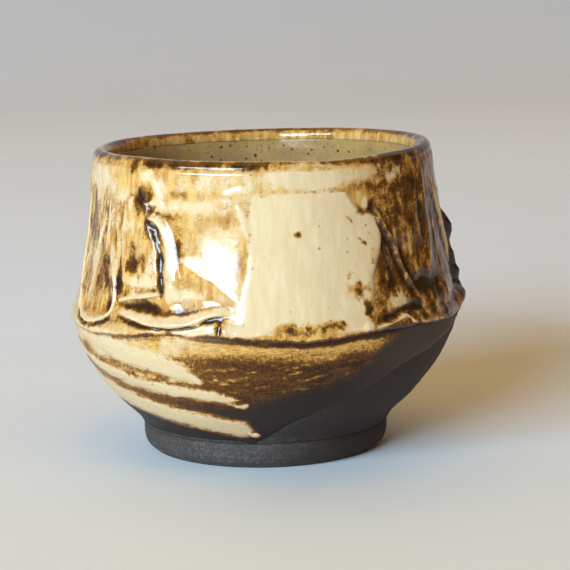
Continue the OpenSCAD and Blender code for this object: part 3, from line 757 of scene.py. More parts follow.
    def belly_tone(self):
        """Shares of cream, of iron and of thin wash on the belly; the iron share also carries painted shade
        under the coat's edge.
        """
        p, a, z = self.place, self.a2, self.z2
        edge = self.edge[:, None]
        streak = noise(p, (7, 7, 1.2), 30, 3, 0.6)
        blots = noise(p, 4.5, 31, 4, 0.6)
        gold = ease(edge - 7.2, edge - 2.3, z + 1.6 * blots) * (1 - 0.85 * ease(28, 48, a) * (a < 150))
        palm = ease(-96, -70, a) * ease(-6, -26, a) * ease(19, 23, z)
        iron = 0.84 - 0.66 * gold + 0.2 * streak + (0.2 + 0.1 * gold) * blots - 0.28 * palm * (1 + blots)
        # Painted shade on the belly just under the coat's overhanging edge
        iron += 1.0 * ease(2.0, 0.6, edge - z + 0.7 * blots) * (1 - 0.45 * palm)
        cream = 0.04 + gold * (0.18 + 0.16 * blots) + 0.10 * streak + 0.28 * palm * (1 + blots)
        flecks = ease(0.25, 0.8, noise(p, (2.6, 2.6, 0.55), 33, 2, 0.6))
        flecks = flecks * ease(21, 25, z) * ease(33, 30, z) * ease(58, 30, np.abs(a))
        cream += 0.2 * flecks
        iron -= 0.5 * flecks
        swipe = self.swipes
        thin = 0.3 * noise(p, (4, 4, 1.1), 32, 3)
        self.belly_cream = cream * (1 - swipe) + swipe * (0.95 + thin)
        self.belly_iron = iron * (1 - swipe) + swipe * 0.3 * np.maximum(-thin, 0)
        wash_top = read(WASH_TOP, self.ang)[:, None]
        wash = ease(wash_top + 7.5, wash_top - 4.5, z + 2.0 * streak + 1.6 * blots)
        self.belly_dry = wash * ease(0.25, 0.0, swipe)

    def at(self, field, ang, z):
        """Value of a field at places given in degrees and mm."""
        i = (np.asarray(ang) + 180) % 360 / NET_TURN
        j = np.clip((np.asarray(z) - self.z[0]) / NET_RISE, 0, len(self.z) - 1.001)
        i0 = np.floor(i).astype(int)
        j0 = np.floor(j).astype(int)
        fi, fj = i - i0, j - j0
        i0 %= len(self.ang)
        i1 = (i0 + 1) % len(self.ang)
        return ((field[i0, j0] * (1 - fi) + field[i1, j0] * fi) * (1 - fj)
                + (field[i0, j0 + 1] * (1 - fi) + field[i1, j0 + 1] * fi) * fj)

    def edge_at(self, ang):
        """Height of the coat's lower edge at the angles given."""
        return np.interp((np.asarray(ang) + 180) % 360 - 180, self.ang, self.edge, period=360)

    def tone(self, ang, z, belly=False):
        """Cream, iron and dry shares at the places given, as a colour."""
        names = ("belly_cream", "belly_iron", "belly_dry") if belly else ("cream", "iron", "dry")
        return np.stack([self.at(getattr(self, n), ang, z) for n in names] + [np.ones_like(ang)], -1)


@cache
def coat():
    """The coat of this bowl, worked out once."""
    return Coat(Turned(sizes()))


def columns():
    """Angles round the bowl, closer together at the front."""
    return np.concatenate([np.arange(-100, 100, 0.5), np.arange(100, 260, 1.0)])


def fan(first, last, count):
    """So many even steps from each first value to its last."""
    return first[:, None] + (last - first)[:, None] * np.linspace(0, 1, count)


def grid_faces(ids, flip=False):
    """Quads of a grid of point numbers."""
    a, b, c, d = ids[:-1, :-1], ids[1:, :-1], ids[1:, 1:], ids[:-1, 1:]
    return np.stack([a, d, c, b] if flip else [a, b, c, d], -1).reshape(-1, 4)


def sheet(name, top, under, ring=False, tone=None):
    """Closed mesh of a coat: grids of points for its face and its underside, joined at the border."""
    n, m = top.shape[:2]
    k = under.shape[1]
    t = np.arange(n * m).reshape(n, m)
    u = n * m + np.arange(n * k).reshape(n, k)
    if ring:
        t = np.concatenate([t, t[:1]])
        u = np.concatenate([u, u[:1]])
    faces = [grid_faces(t), grid_faces(u, flip=True)]
    joins = [(t[::-1, 0], u[::-1, 0]), (t[:, -1], u[:, -1])]
    if not ring:
        joins += [(t[0], u[0]), (t[-1, ::-1], u[-1, ::-1])]
    for a, b in joins:
        faces.append(np.stack([a[:-1], a[1:], b[1:], b[:-1]], -1))
    points = np.concatenate([top.reshape(-1, 3), under.reshape(-1, 3)])
    mesh = bpy.data.meshes.new(name)
    mesh.from_pydata((settle(points, coat().turned) * MM).tolist(), [], np.concatenate(faces).tolist())
    if tone is not None:
        layer = mesh.attributes.new("tone", "FLOAT_COLOR", "POINT")
        values = np.concatenate([tone.reshape(-1, 4), np.tile(HIDDEN_TONE, (n * k, 1))])
        layer.data.foreach_set("color", values.astype(np.float32).ravel())
    mesh.shade_smooth()
    mesh.update()
    return mesh


def add_piece(name, mesh, material, nodes):
    """Object for a finished mesh, set on the bowl in place of its solids."""
    ob = bpy.data.objects.new(name, mesh)
    bpy.context.scene.collection.objects.link(ob)
    if not mesh.materials:
        mesh.materials.append(material)
    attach(ob, BODY)
    if nodes:
        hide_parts(*nodes)
    return ob


# Materials

def put(tree, kind, inputs=None, **settings):
    """New node; each input is a value or the socket that feeds it."""
    n = tree.nodes.new(kind)
    for key, value in settings.items():
        setattr(n, key, value)
    for key, value in (inputs or {}).items():
        if isinstance(value, bpy.types.NodeSocket):
            tree.links.new(value, n.inputs[key])
        else:
            n.inputs[key].default_value = value
    return n


def mix_colour(tree, share, a, b):
    """Colour a, with a share of colour b."""
    return put(tree, "ShaderNodeMix", {0: share, 6: a, 7: b}, data_type="RGBA").outputs[2]


def sums(tree, operation, *terms):
    """Result of a math node."""
    return put(tree, "ShaderNodeMath", dict(enumerate(terms)), operation=operation).outputs[0]


def eased(tree, value, low, high, to_low=0.0, to_high=1.0):
    """Value eased from one range into another."""
    inputs = {0: value, 1: low, 2: high, 3: to_low, 4: to_high}
    return put(tree, "ShaderNodeMapRange", inputs, interpolation_type="SMOOTHSTEP").outputs[0]


def grain(tree, coords, scale, detail, stretch=None, rough=0.55):
    """Noise over the bowl, stretched if asked."""
    if stretch:
        coords = put(tree, "ShaderNodeMapping", {"Vector": coords, "Scale": stretch}).outputs[0]
    inputs = {"Vector": coords, "Scale": scale, "Detail": detail, "Roughness": rough}
    return put(tree, "ShaderNodeTexNoise", inputs).outputs[0]


def axes(tree, vector):
    """The three parts of a vector."""
    return put(tree, "ShaderNodeSeparateXYZ", {0: vector}).outputs


def channels(tree, colour):
    """The three parts of a colour."""
    return put(tree, "ShaderNodeSeparateColor", {0: colour}).outputs


def cells(tree, coords, scale):
    """Distance to the middle of scattered cells, and a colour for each."""
    return put(tree, "ShaderNodeTexVoronoi", {"Vector": coords, "Scale": scale, "Randomness": 1.0}).outputs


def rgba(colour, k=1.0):
    """Colour for a socket, k times as bright."""
    return (colour[0] * k, colour[1] * k, colour[2] * k, 1.0)


def start_material(name):
    """New material with a shader, and the place of each point on the bowl."""
    mat = bpy.data.materials.new(name)
    mat.use_nodes = True
    tree = mat.node_tree
    tree.nodes.clear()
    out = put(tree, "ShaderNodeOutputMaterial")
    shader = put(tree, "ShaderNodeBsdfPrincipled")
    tree.links.new(shader.outputs[0], out.inputs[0])
    coords = put(tree, "ShaderNodeTexCoord").outputs["Object"]
    return mat, tree, shader, coords


def surface(tree, shader, base, rough, bumps=()):
    """Feeds colour, roughness and bumps to the shader; bumps are pairs of height socket and depth in mm."""
    tree.links.new(base, shader.inputs["Base Color"])
    tree.links.new(rough, shader.inputs["Roughness"])
    last = None
    for height, depth in bumps:
        n = put(tree, "ShaderNodeBump", {"Height": height, "Distance": depth * MM, "Strength": 1.0})
        if last is not None:
            tree.links.new(last, n.inputs["Normal"])
        last = n.outputs[0]
    if last is not None:
        tree.links.new(last, shader.inputs["Normal"])


def glaze_material(name):
    """Glaze over slip: honey, cream on thick slip, brown to iron where it gathers, from the piece's tone."""
    stretch, strength, gloss, specular, depths = GLAZES[name]
    c = colours()
    mat, tree, shader, coords = start_material(name)
    part = channels(tree, put(tree, "ShaderNodeAttribute", attribute_name="tone").outputs["Color"])
    blots = grain(tree, coords, 260, 6, rough=0.62)
    fine = grain(tree, coords, 1300, 4, rough=0.6)
    runs = grain(tree, coords, 620, 4, stretch=stretch)
    freckle = grain(tree, coords, 2600, 2)
    cream, iron = part[0], part[1]
    for texture, amount in ((blots, 0.55), (fine, 0.8), (runs, 0.3)):
        cream = sums(tree, "MULTIPLY_ADD", texture, amount, cream)
    for texture, amount in ((fine, 0.9), (runs, 0.35), (freckle, 0.25)):
        iron = sums(tree, "MULTIPLY_ADD", texture, amount, iron)
    honey = mix_colour(tree, eased(tree, runs, 0.35, 0.68), rgba(c.honey), rgba(c.amber))
    thick = mix_colour(tree, eased(tree, runs, 0.28, 0.78), rgba(c.cream, strength), rgba(c.pale, strength))
    base = mix_colour(tree, eased(tree, cream, 1.03, 1.53), honey, thick)
    darker = ((0.88, 1.16, 0.8, c.amber), (1.04, 1.40, 1.0, c.brown), (1.38, 1.82, 1.0, c.iron))
    for low, high, most, colour in darker:
        base = mix_colour(tree, eased(tree, iron, low, high, 0.0, most), base, rgba(colour))
    dry = eased(tree, sums(tree, "MULTIPLY_ADD", fine, 0.3, part[2]), 0.3, 1.0)
    right = eased(tree, axes(tree, coords)[0], 0.016, 0.042)
    base = mix_colour(tree, dry, base, mix_colour(tree, right, rgba(c.dusk), rgba(c.dusk, 2.5)))
    cell = cells(tree, coords, 420.0)
    near = sums(tree, "MULTIPLY_ADD", freckle, 0.35, cell["Distance"])
    chosen = eased(tree, channels(tree, cell["Color"])[0], 0.80, 0.95)
    fleck = sums(tree, "MULTIPLY", eased(tree, near, 0.36, 0.24), chosen)
    base = mix_colour(tree, sums(tree, "MULTIPLY", fleck, 0.7), base, rgba(c.brown))
    wet = sums(tree, "MULTIPLY_ADD", fine, 0.06, gloss)
    rough = put(tree, "ShaderNodeMix", {0: dry, 2: wet, 3: 0.5}).outputs[0]
    surface(tree, shader, base, rough, zip((blots, runs, fine, freckle), depths))
    shader.inputs["Specular IOR Level"].default_value = specular
    return mat


def liner_material(name):
    """Khaki glaze inside, warmer and browner up by the lip, with fine specks."""
    c = colours()
    mat, tree, shader, coords = start_material(name)
    blots = grain(tree, coords, 130, 5, rough=0.6)
    fine = grain(tree, coords, 1100, 4)
    body = mix_colour(tree, eased(tree, blots, 0.35, 0.65), rgba(c.khaki), rgba(c.khaki, 1.25))
    warm = sums(tree, "MULTIPLY_ADD", blots, 0.02, axes(tree, coords)[2])
    base = mix_colour(tree, eased(tree, warm, 0.078, 0.092, 0.0, 0.7), body, rgba(c.honey, 0.6))
    base = mix_colour(tree, eased(tree, fine, 0.54, 0.70, 0.0, 0.4), base, rgba(c.brown))
    cell = cells(tree, coords, 330.0)
    chosen = eased(tree, channels(tree, cell["Color"])[0], 0.70, 0.76)
    fleck = sums(tree, "MULTIPLY", eased(tree, cell["Distance"], 0.2, 0.1), chosen)
    base = mix_colour(tree, sums(tree, "MULTIPLY", fleck, 0.8), base, rgba(c.brown, 0.6))
    surface(tree, shader, base, sums(tree, "MULTIPLY_ADD", fine, 0.12, 0.12), ((blots, 0.15), (fine, 0.03)))
    return mat


def clay_material(name):
    """Charcoal stoneware with fine grog and turning lines, and painted shade darker at the right."""
    c = colours()
    mat, tree, shader, coords = start_material(name)
    grog = grain(tree, coords, 1500, 5, rough=0.72)
    blots = grain(tree, coords, 160, 5)
    lines = grain(tree, coords, 900, 3, stretch=(0.12, 0.12, 1))
    base = mix_colour(tree, eased(tree, grog, 0.40, 0.66), rgba(c.clay, 0.55), rgba(c.clay, 1.5))
    base = mix_colour(tree, eased(tree, blots, 0.4, 0.7, 0.0, 0.4), base, rgba(c.dusk, 0.8))
    # Painted shade: the clay turns towards iron at the right, where less light falls
    side = sums(tree, "MULTIPLY_ADD", blots, 0.012, axes(tree, coords)[0])
    base = mix_colour(tree, eased(tree, side, -0.002, 0.030, 0.0, 0.9), base, rgba(c.iron, 0.6))
    pits = eased(tree, cells(tree, coords, 900.0)["Distance"], 0.1, 0.28)
    rough = sums(tree, "MULTIPLY_ADD", grog, 0.2, 0.6)
    surface(tree, shader, base, rough, ((lines, 0.2), (grog, 0.14), (pits, 0.06)))
    shader.inputs["Specular IOR Level"].default_value = 0.4
    return mat


def speck_material(name):
    """Iron specks that bled through the glaze."""
    c = colours()
    mat, tree, shader, coords = start_material(name)
    fine = grain(tree, coords, 2400, 2)
    base = mix_colour(tree, eased(tree, fine, 0.3, 0.7), rgba(c.iron), rgba(c.brown))
    surface(tree, shader, base, sums(tree, "MULTIPLY_ADD", fine, 0.2, 0.2))
    return mat


FINISHES = {
    "wall_glaze": glaze_material, "belly_glaze_brown": glaze_material, "liner_khaki": liner_material,
    "charcoal_clay": clay_material, "iron_speck": speck_material}


def finish(name):
    """Material of this name, made when it is first asked for."""
    return bpy.data.materials.get(name) or FINISHES[name](name)


# Geometry Nodes: turned pieces and scattered specks

def start_tree(name, result, inputs):
    """New tree with named inputs, each with its kind and default, and one result."""
    tree = bpy.data.node_groups.new(name, "GeometryNodeTree")
    tree.is_modifier = True
    for label, kind, value in inputs:
        item = tree.interface.new_socket(name=label, in_out="INPUT", socket_type="NodeSocket" + kind)
        if value is not None:
            item.default_value = value
    tree.interface.new_socket(name=result, in_out="OUTPUT", socket_type="NodeSocketGeometry")
    return tree, put(tree, "NodeGroupInput").outputs


def then(tree, kind, geometry, **inputs):
    """Next step on a geometry."""
    return put(tree, "GeometryNode" + kind, {"Geometry": geometry, **inputs}).outputs[0]


def turning_tree():
    """Turns a half outline round the Z axis, with a slight wobble and turning lines."""
    tree, given = start_tree("turned_on_the_wheel", "Piece", (
        ("Outline", "Geometry", None), ("Around", "Int", 256), ("Along", "Int", 120),
        ("Wobble", "Float", 0.0001), ("Line depth", "Float", 0.00005), ("Line pitch", "Float", 0.003),
        ("Finish", "Material", None)))
    outline = put(tree, "GeometryNodeMeshToCurve", {"Mesh": given["Outline"]}).outputs[0]
    around = sums(tree, "ADD", given["Around"], 1.0)
    net = put(tree, "GeometryNodeMeshGrid", {
        "Size X": 1.0, "Size Y": 1.0, "Vertices X": around, "Vertices Y": given["Along"]}).outputs[0]
    here = axes(tree, put(tree, "GeometryNodeInputPosition").outputs[0])
    share = sums(tree, "ADD", here[1], 0.5)
    spot = put(tree, "GeometryNodeSampleCurve", {"Curves": outline, "Factor": share}, mode="FACTOR")
    at = axes(tree, spot.outputs["Position"])
    angle = sums(tree, "MULTIPLY", sums(tree, "ADD", here[0], 0.5), 2 * math.pi)
    east = sums(tree, "SINE", angle)
    south = sums(tree, "COSINE", angle)
    flat = put(tree, "ShaderNodeCombineXYZ", {
        0: sums(tree, "MULTIPLY", at[0], east), 1: sums(tree, "MULTIPLY", at[0], south), 2: at[2]}).outputs[0]
    sway = put(tree, "ShaderNodeTexNoise", {"Vector": flat, "Scale": 55.0, "Detail": 3.0}).outputs[0]
    sway = sums(tree, "SUBTRACT", sway, 0.5)
    wave = sums(tree, "DIVIDE", sums(tree, "MULTIPLY", at[2], 2 * math.pi), given["Line pitch"])
    ripple = sums(tree, "SINE", sums(tree, "MULTIPLY_ADD", sway, 9.0, wave))
    lines = sums(tree, "MULTIPLY", ripple, given["Line depth"])
    moved = sums(tree, "MULTIPLY_ADD", sway, given["Wobble"], lines)
    r = sums(tree, "ADD", at[0], sums(tree, "MULTIPLY", eased(tree, at[0], 0.004, 0.02), moved))
    right = sums(tree, "MULTIPLY", r, east)
    back = sums(tree, "MULTIPLY", sums(tree, "MULTIPLY", r, south), -1.0)
    place = put(tree, "ShaderNodeCombineXYZ", {0: right, 1: back, 2: at[2]}).outputs[0]
    piece = then(tree, "SetPosition", net, Position=place)
    piece = then(tree, "MergeByDistance", piece, Distance=0.000008)
    piece = then(tree, "SetShadeSmooth", piece)
    piece = then(tree, "RealizeInstances", piece)
    piece = then(tree, "SetMaterial", piece, Material=given["Finish"])
    put(tree, "NodeGroupOutput", {"Piece": piece})
    return tree


def speck_tree():
    """Scatters flat specks over a surface."""
    tree, given = start_tree("scattered_specks", "Specks", (
        ("Surface", "Geometry", None), ("Density", "Float", 20000.0), ("Smallest", "Float", 0.00012),
        ("Largest", "Float", 0.0004), ("Seed", "Int", 4), ("Finish", "Material", None)))
    inputs = {"Mesh": given["Surface"], "Density": given["Density"], "Seed": given["Seed"]}
    spread = put(tree, "GeometryNodeDistributePointsOnFaces", inputs, distribute_method="RANDOM")
    dot = put(tree, "GeometryNodeMeshIcoSphere", {"Radius": 1.0, "Subdivisions": 1}).outputs[0]
    dot = then(tree, "Transform", dot, Scale=(1.0, 1.0, 0.16))
    draw = put(tree, "FunctionNodeRandomValue", {"Seed": given["Seed"]}, data_type="FLOAT").outputs[1]
    span = sums(tree, "SUBTRACT", given["Largest"], given["Smallest"])
    size = sums(tree, "MULTIPLY_ADD", sums(tree, "POWER", draw, 2.6), span, given["Smallest"])
    dots = put(tree, "GeometryNodeInstanceOnPoints", {
        "Points": spread.outputs["Points"], "Instance": dot, "Rotation": spread.outputs["Rotation"],
        "Scale": size}).outputs[0]
    dots = then(tree, "RealizeInstances", dots)
    dots = then(tree, "SetMaterial", dots, Material=given["Finish"])
    put(tree, "NodeGroupOutput", {"Specks": dots})
    return tree


def grown(name, mesh, tree, **values):
    """Plain mesh that a node tree makes from a mesh."""
    ob = bpy.data.objects.new(name + "_start", mesh)
    bpy.context.scene.collection.objects.link(ob)
    mod = ob.modifiers.new("tree", "NODES")
    mod.node_group = tree
    names = {s.name: s.identifier for s in tree.interface.items_tree if s.in_out == "INPUT"}
    for key, value in values.items():
        mod[names[key.replace("_", " ")]] = value
    bpy.context.view_layer.update()
    ready = ob.evaluated_get(bpy.context.evaluated_depsgraph_get())
    made = bpy.data.meshes.new_from_object(ready)
    made.name = name
    ob.modifiers.remove(mod)
    bpy.data.objects.remove(ob)
    if not made.polygons:
        raise RuntimeError(name + " came out empty")
    return made


def turned_mesh(name, outline, material, around, along, wobble, depth, pitch):
    """Mesh turned from an outline of radius and height in mm."""
    start = bpy.data.meshes.new(name + "_outline")
    points = [(r * MM, 0.0, z * MM) for r, z in outline]
    start.from_pydata(points, [(i, i + 1) for i in range(len(points) - 1)], [])
    tree = bpy.data.node_groups.get("turned_on_the_wheel") or turning_tree()
    mesh = grown(name, start, tree, Around=around, Along=along, Wobble=wobble * MM,
                 Line_depth=depth * MM, Line_pitch=pitch * MM, Finish=material)
    co = np.empty(len(mesh.vertices) * 3, np.float32)
    mesh.vertices.foreach_get("co", co)
    co = settle(co.reshape(-1, 3) / MM, coat().turned) * MM
    mesh.vertices.foreach_set("co", co.astype(np.float32).ravel())
    mesh.shade_smooth()
    mesh.update()
    return mesh


# Operators

class TEABOWL_OT_clay(bpy.types.Operator):
    """Thrown bowl and its foot ring, in bare clay"""
    bl_idname = "teabowl.clay"
    bl_label = "Clay bowl and foot"

    def execute(self, context):
        t = coat().turned
        seat = t.foot_r - 2.2
        z = np.linspace(t.foot_h, t.lip_z, 120)
        bowl = np.concatenate([
            [[0, t.recess], [seat, t.recess]], np.stack([t.clay(z), z], -1), t.lip(0, 0, 180, 24)[1:],
            t.well_curve(t.lip_z - 0.5, 0)[::-1]])
        mesh = turned_mesh("thrown_clay", bowl, finish("charcoal_clay"), 240, 200, 0.16, 0.04, 2.2)
        add_piece("thrown_clay", mesh, finish("charcoal_clay"), ["thrown_bowl"])
        inner, outer, top = t.foot_r - t.foot_w, t.foot_r, t.foot_h
        foot = np.array([
            [inner - 0.6, 1.0], [inner - 0.3, 0.25], [inner + 0.4, 0.0], [outer - 3.0, 0.0],
            [outer - 2.4, 0.12], [outer - 1.35, 0.95], [outer - 0.55, 1.8], [outer - 0.15, 2.8], [outer, 3.6],
            [outer + 0.1, top * 0.4 + 1.9], [outer + 0.1, top - 0.7], [outer - 0.05, top - 0.25],
            [outer - 0.4, top - 0.05], [outer - 1.2, top + 0.02], [outer - 1.8, top - 0.1],
            [seat - 0.2, t.recess + 0.2], [inner - 1, t.recess], [inner - 0.6, 1.0]])
        mesh = turned_mesh("foot_clay", foot, finish("charcoal_clay"), 256, 150, 0.3, 0.03, 1.3)
        add_piece("foot_clay", mesh, finish("charcoal_clay"), ["foot_ring"])
        return {"FINISHED"}


class TEABOWL_OT_liner(bpy.types.Operator):
    """Glaze inside the bowl"""
    bl_idname = "teabowl.liner"
    bl_label = "Liner glaze"

    def execute(self, context):
        t = coat().turned
        top = t.lip_z - 0.6
        outline = np.concatenate([t.well_curve(top, 0), t.well_curve(top, t.liner_t)[::-1]])
        mesh = turned_mesh("liner", outline, finish("liner_khaki"), 256, 240, 0.5, 0.09, 6.0)
        add_piece("liner_inside", mesh, finish("liner_khaki"), ["liner_glaze"])
        return {"FINISHED"}


class TEABOWL_OT_rim(bpy.types.Operator):
    """Dark iron glaze folded over the lip, with runs down the outside"""
    bl_idname = "teabowl.rim"
    bl_label = "Rim glaze"

    def execute(self, context):
        k = coat()
        t = k.turned
        ang = columns()
        flank_rows, arc_rows, inner_rows = 12, 15, 3

        def all_round(values):
            """The same values for each angle."""
            return np.tile(values, (len(ang), 1))

        z = fan(t.rim_low + 0 * ang, t.lip_z + 0 * ang, flank_rows)
        start = 0.08 * ease(0, 0.5, np.linspace(0, 1, flank_rows)) - 0.03
        over = k.at(k.high, ang[:, None] + 0 * z, z) + start
        lip = ease(t.lip_z - 2.2, t.lip_z, z)
        flank = t.clay(z) + over * (1 - lip) + t.liner_t * lip
        drop = np.linspace(t.lip_z - 0.3, t.lip_z - 1.1, inner_rows)
        inner = np.stack([t.well(drop) - t.liner_t - 0.03, drop], -1)
        rest = np.concatenate([t.lip(t.liner_t, 0, 180, arc_rows + 1)[1:], inner])
        r = np.concatenate([flank, all_round(rest[:, 0])], 1)
        z = np.concatenate([z, all_round(rest[:, 1])], 1)
        a2 = ang[:, None] + 0 * z
        top = turn_out(a2, r, z)
        ends = all_round([0, t.clay(t.lip_z) - t.lip_r, inner[-1, 0] + 0.2])
        ends[:, 0] = t.clay(t.rim_low) + k.at(k.high, ang, t.rim_low + 0 * ang) * 0.5
        ends_z = all_round([t.rim_low + 0.1, t.lip_z, inner[-1, 1]])
        under = turn_out(ang[:, None] + 0 * ends, ends, ends_z)
        inside = all_round(np.concatenate([
            np.zeros(flank_rows), ease(100, 165, np.linspace(0, 180, arc_rows)), np.ones(inner_rows)]))
        # Paler top of the lip: thin glaze there, and partly a painted highlight along the lip
        crest = ease(0.93, 1.0, np.clip((z - t.lip_z) / (t.lip_r + t.liner_t), 0, 1)) * (1 - inside)
        flecks = noise(top, (2.2, 2.2, 5), 53, 3, 0.6)
        tone = k.tone(a2, np.minimum(z, 83))
        tone[..., 0] = (tone[..., 0] + 0.3 * crest) * (1 - inside) + (0.27 - 0.1 * flecks) * inside
        tone[..., 1] = (tone[..., 1] - 0.6 * crest) * (1 - inside) + (0.22 + 0.26 * flecks) * inside
        mesh = sheet("rim_band", top, under, ring=True, tone=tone)
        add_piece("rim_iron_band", mesh, finish("wall_glaze"), ["rim_glaze"])
        return {"FINISHED"}


class TEABOWL_OT_wall(bpy.types.Operator):
    """Slip coat on the upper wall, with its hollows and cracks"""
    bl_idname = "teabowl.wall"
    bl_label = "Wall slip coat"

    def execute(self, context):
        k = coat()
        t = k.turned
        ang = columns()
        low = k.edge_at(ang)
        z, z_u = (fan(low, t.lip_z - 0.2 + 0 * low, rows) for rows in (100, 5))
        a2 = ang[:, None] + 0 * z
        curl = 0.45 + 0.55 * ease(0, 0.6, z - low[:, None])
        top = turn_out(a2, t.clay(z) + k.at(k.low, a2, z) * curl, z)
        under = turn_out(ang[:, None] + 0 * z_u, t.clay(z_u), z_u)
        mesh = sheet("wall_coat", top, under, ring=True, tone=k.tone(a2, z))
        add_piece("wall_coat", mesh, finish("wall_glaze"), ["wall_slip"])
        return {"FINISHED"}


class TEABOWL_OT_waist(bpy.types.Operator):
    """Rolled lower edge of the slip coat"""
    bl_idname = "teabowl.waist"
    bl_label = "Waist band"

    def execute(self, context):
        k = coat()
        t = k.turned
        ang = columns()
        edge = k.edge_at(ang)
        low, rows = edge - 0.35, 14
        z, z_u = (fan(low, low + 4.1, n) for n in (rows, 3))
        a2 = ang[:, None] + 0 * z
        curl = np.sqrt(np.clip(np.linspace(0, 4, rows), 0, 1))
        out = k.at(k.low, a2, z) + k.at(k.parts["waist_band"], a2, z) + 0.03 - t.glaze_t
        top = turn_out(a2, t.clay(z) + t.glaze_t + out * curl, z)
        under = turn_out(ang[:, None] + 0 * z_u, t.clay(z_u) + 0.02, z_u)
        # The roll under the edge takes the tone just above it, painted shade included
        tone = k.tone(a2, np.maximum(z, edge[:, None] + 0.2))
        mesh = sheet("waist_roll", top, under, ring=True, tone=tone)
        add_piece("waist_roll", mesh, finish("wall_glaze"), ["waist_band"])
        return {"FINISHED"}


class TEABOWL_OT_belly(bpy.types.Operator):
    """Thin glaze on the belly, dipped at a slant"""
    bl_idname = "teabowl.belly"
    bl_label = "Belly glaze"
    dip_h: length("Dip", "Height at which the glaze ends in front", 0.009)
    dip_slope: FloatProperty(name="Slope", description="Rise of the glaze end to the right", default=0.5)

    def execute(self, context):
        k = coat()
        t = k.turned
        ang = columns()
        high = k.edge_at(ang) + 0.3
        ring = turn_out(ang, 50, 0 * ang)
        low = self.dip_h / MM + self.dip_slope * ring[:, 0] + 0.8 * noise(ring, 9, 55, 3)
        low = np.clip(low, t.foot_h + 1.0, high - 1.5)
        z, z_u = (fan(low, high, rows) for rows in (56, 12))
        a2 = ang[:, None] + 0 * z
        thick = k.at(k.belly_low, a2, z) * (0.15 + 0.85 * ease(0, 1.2, z - low[:, None]))
        top = turn_out(a2, t.clay(z) + thick, z)
        under = turn_out(ang[:, None] + 0 * z_u, t.clay(z_u) - 0.05, z_u)
        mesh = sheet("belly_coat", top, under, ring=True, tone=k.tone(a2, z, belly=True))
        add_piece("belly_coat", mesh, finish("belly_glaze_brown"), ["belly_glaze"])
        return {"FINISHED"}


def laid_line(k, name, wide, line, high, low, belly):
    """Mesh of a line of slip: a strip that follows the line, risen by its own height."""
    t = k.turned
    step = 0.4
    line = even(line, step)
    if belly:
        more = np.arange(1, 2 + int(wide * 1.4))[:, None] * step
        first, last = (d / np.hypot(*(d * FLAT)) for d in (line[0] - line[1], line[-1] - line[-2]))
        line = np.concatenate([(line[0] + more * first)[::-1], line, line[-1] + more * last])
    way = np.gradient(line * FLAT, axis=0)
    way /= np.hypot(way[:, 0], way[:, 1])[:, None]
    across = np.linspace(-1, 1, max(9, int(wide / 0.28) | 1)) * wide / 2 * 1.2
    a2 = line[:, 0][:, None] - way[:, 1][:, None] * across / ARC
    z2 = line[:, 1][:, None] + way[:, 0][:, None] * across
    risen = ease(0, 0.05, k.at(k.parts[name], a2, z2))
    top = turn_out(a2, t.clay(z2) + k.at(high, a2, z2) - 0.05 + 0.07 * risen, z2)
    under = turn_out(a2, t.clay(z2) + k.at(low, a2, z2) - SUNK, z2)
    return sheet(name, top, under, tone=k.tone(a2, z2, belly=belly))


class TEABOWL_OT_ridges(bpy.types.Operator):
    """Ridges, folds and lumps of slip on the wall"""
    bl_idname = "teabowl.ridges"
    bl_label = "Slip ridges"

    def execute(self, context):
        k = coat()
        for name, (slot, wide, high, lean, swell, points) in WALL_LINES.items():
            line = curve(k.turned.on_wall(points), 8)
            mesh = laid_line(k, name, wide, line, k.high, k.low, False)
            add_piece(name + "_slip", mesh, finish("wall_glaze"), [name])
        return {"FINISHED"}


class TEABOWL_OT_patches(bpy.types.Operator):
    """Cream panels and the slab at the left"""
    bl_idname = "teabowl.patches"
    bl_label = "Slip patches"

    def execute(self, context):
        k = coat()
        t = k.turned
        step = 0.42
        for name, (slot, thick, soft, left, right) in PATCHES.items():
            l, r = np.array(t.on_wall(left)), np.array(t.on_wall(right))
            z = np.linspace(l[0, 1] - 0.6, l[-1, 1] + 0.6, int((l[-1, 1] - l[0, 1]) / step))
            lo = np.interp(z, l[:, 1], l[:, 0]) - 0.8
            hi = np.interp(z, r[:, 1], r[:, 0]) + 0.8
            a2 = fan(hi, lo, int((hi - lo).mean() * ARC / step))
            z2 = z[:, None] + 0 * a2
            ground = t.clay(z2) + k.at(k.low, a2, z2)
            slip = k.at(k.parts[name], a2, z2)
            top = turn_out(a2, ground + slip - 0.04 + 0.06 * ease(0, 0.05, slip), z2)
            mesh = sheet(name, top, turn_out(a2, ground - SUNK, z2), tone=k.tone(a2, z2))
            add_piece(name + "_slip", mesh, finish("wall_glaze"), [name])
        return {"FINISHED"}


class TEABOWL_OT_swipes(bpy.types.Operator):
    """Three finger swipes of cream slip on the belly and the bead they ran into"""
    bl_idname = "teabowl.swipes"
    bl_label = "Finger swipes"

    def execute(self, context):
        k = coat()
        for name, (slot, wide, high, swell, points) in BELLY_LINES.items():
            line = curve(k.turned.on_belly(points), 8)
            mesh = laid_line(k, name, wide, line, k.belly_high, k.belly_low, True)
            add_piece(name + "_slip", mesh, finish("belly_glaze_brown"), [name])
        return {"FINISHED"}


class TEABOWL_OT_specks(bpy.types.Operator):
    """Iron specks in the glaze inside"""
    bl_idname = "teabowl.specks"
    bl_label = "Iron specks"

    def execute(self, context):
        t = coat().turned
        r, z = t.well_curve(t.lip_z - 2.5, t.liner_t)[4:].T
        ang = np.arange(0, 360, 4.0)[:, None]
        grid = turn_out(ang, r + 0 * ang, z + 0 * ang)
        ids = np.arange(grid[..., 0].size).reshape(grid.shape[:2])
        faces = grid_faces(np.concatenate([ids, ids[:1]]), flip=True)
        start = bpy.data.meshes.new("inside_face")
        start.from_pydata((settle(grid.reshape(-1, 3), t) * MM).tolist(), [], faces.tolist())
        mesh = grown("liner_specks", start, speck_tree(), Density=sizes().specks * 10000.0, Smallest=0.0001,
                     Largest=0.00055, Seed=7, Finish=finish("iron_speck"))
        add_piece("liner_specks", mesh, finish("iron_speck"), [])
        return {"FINISHED"}


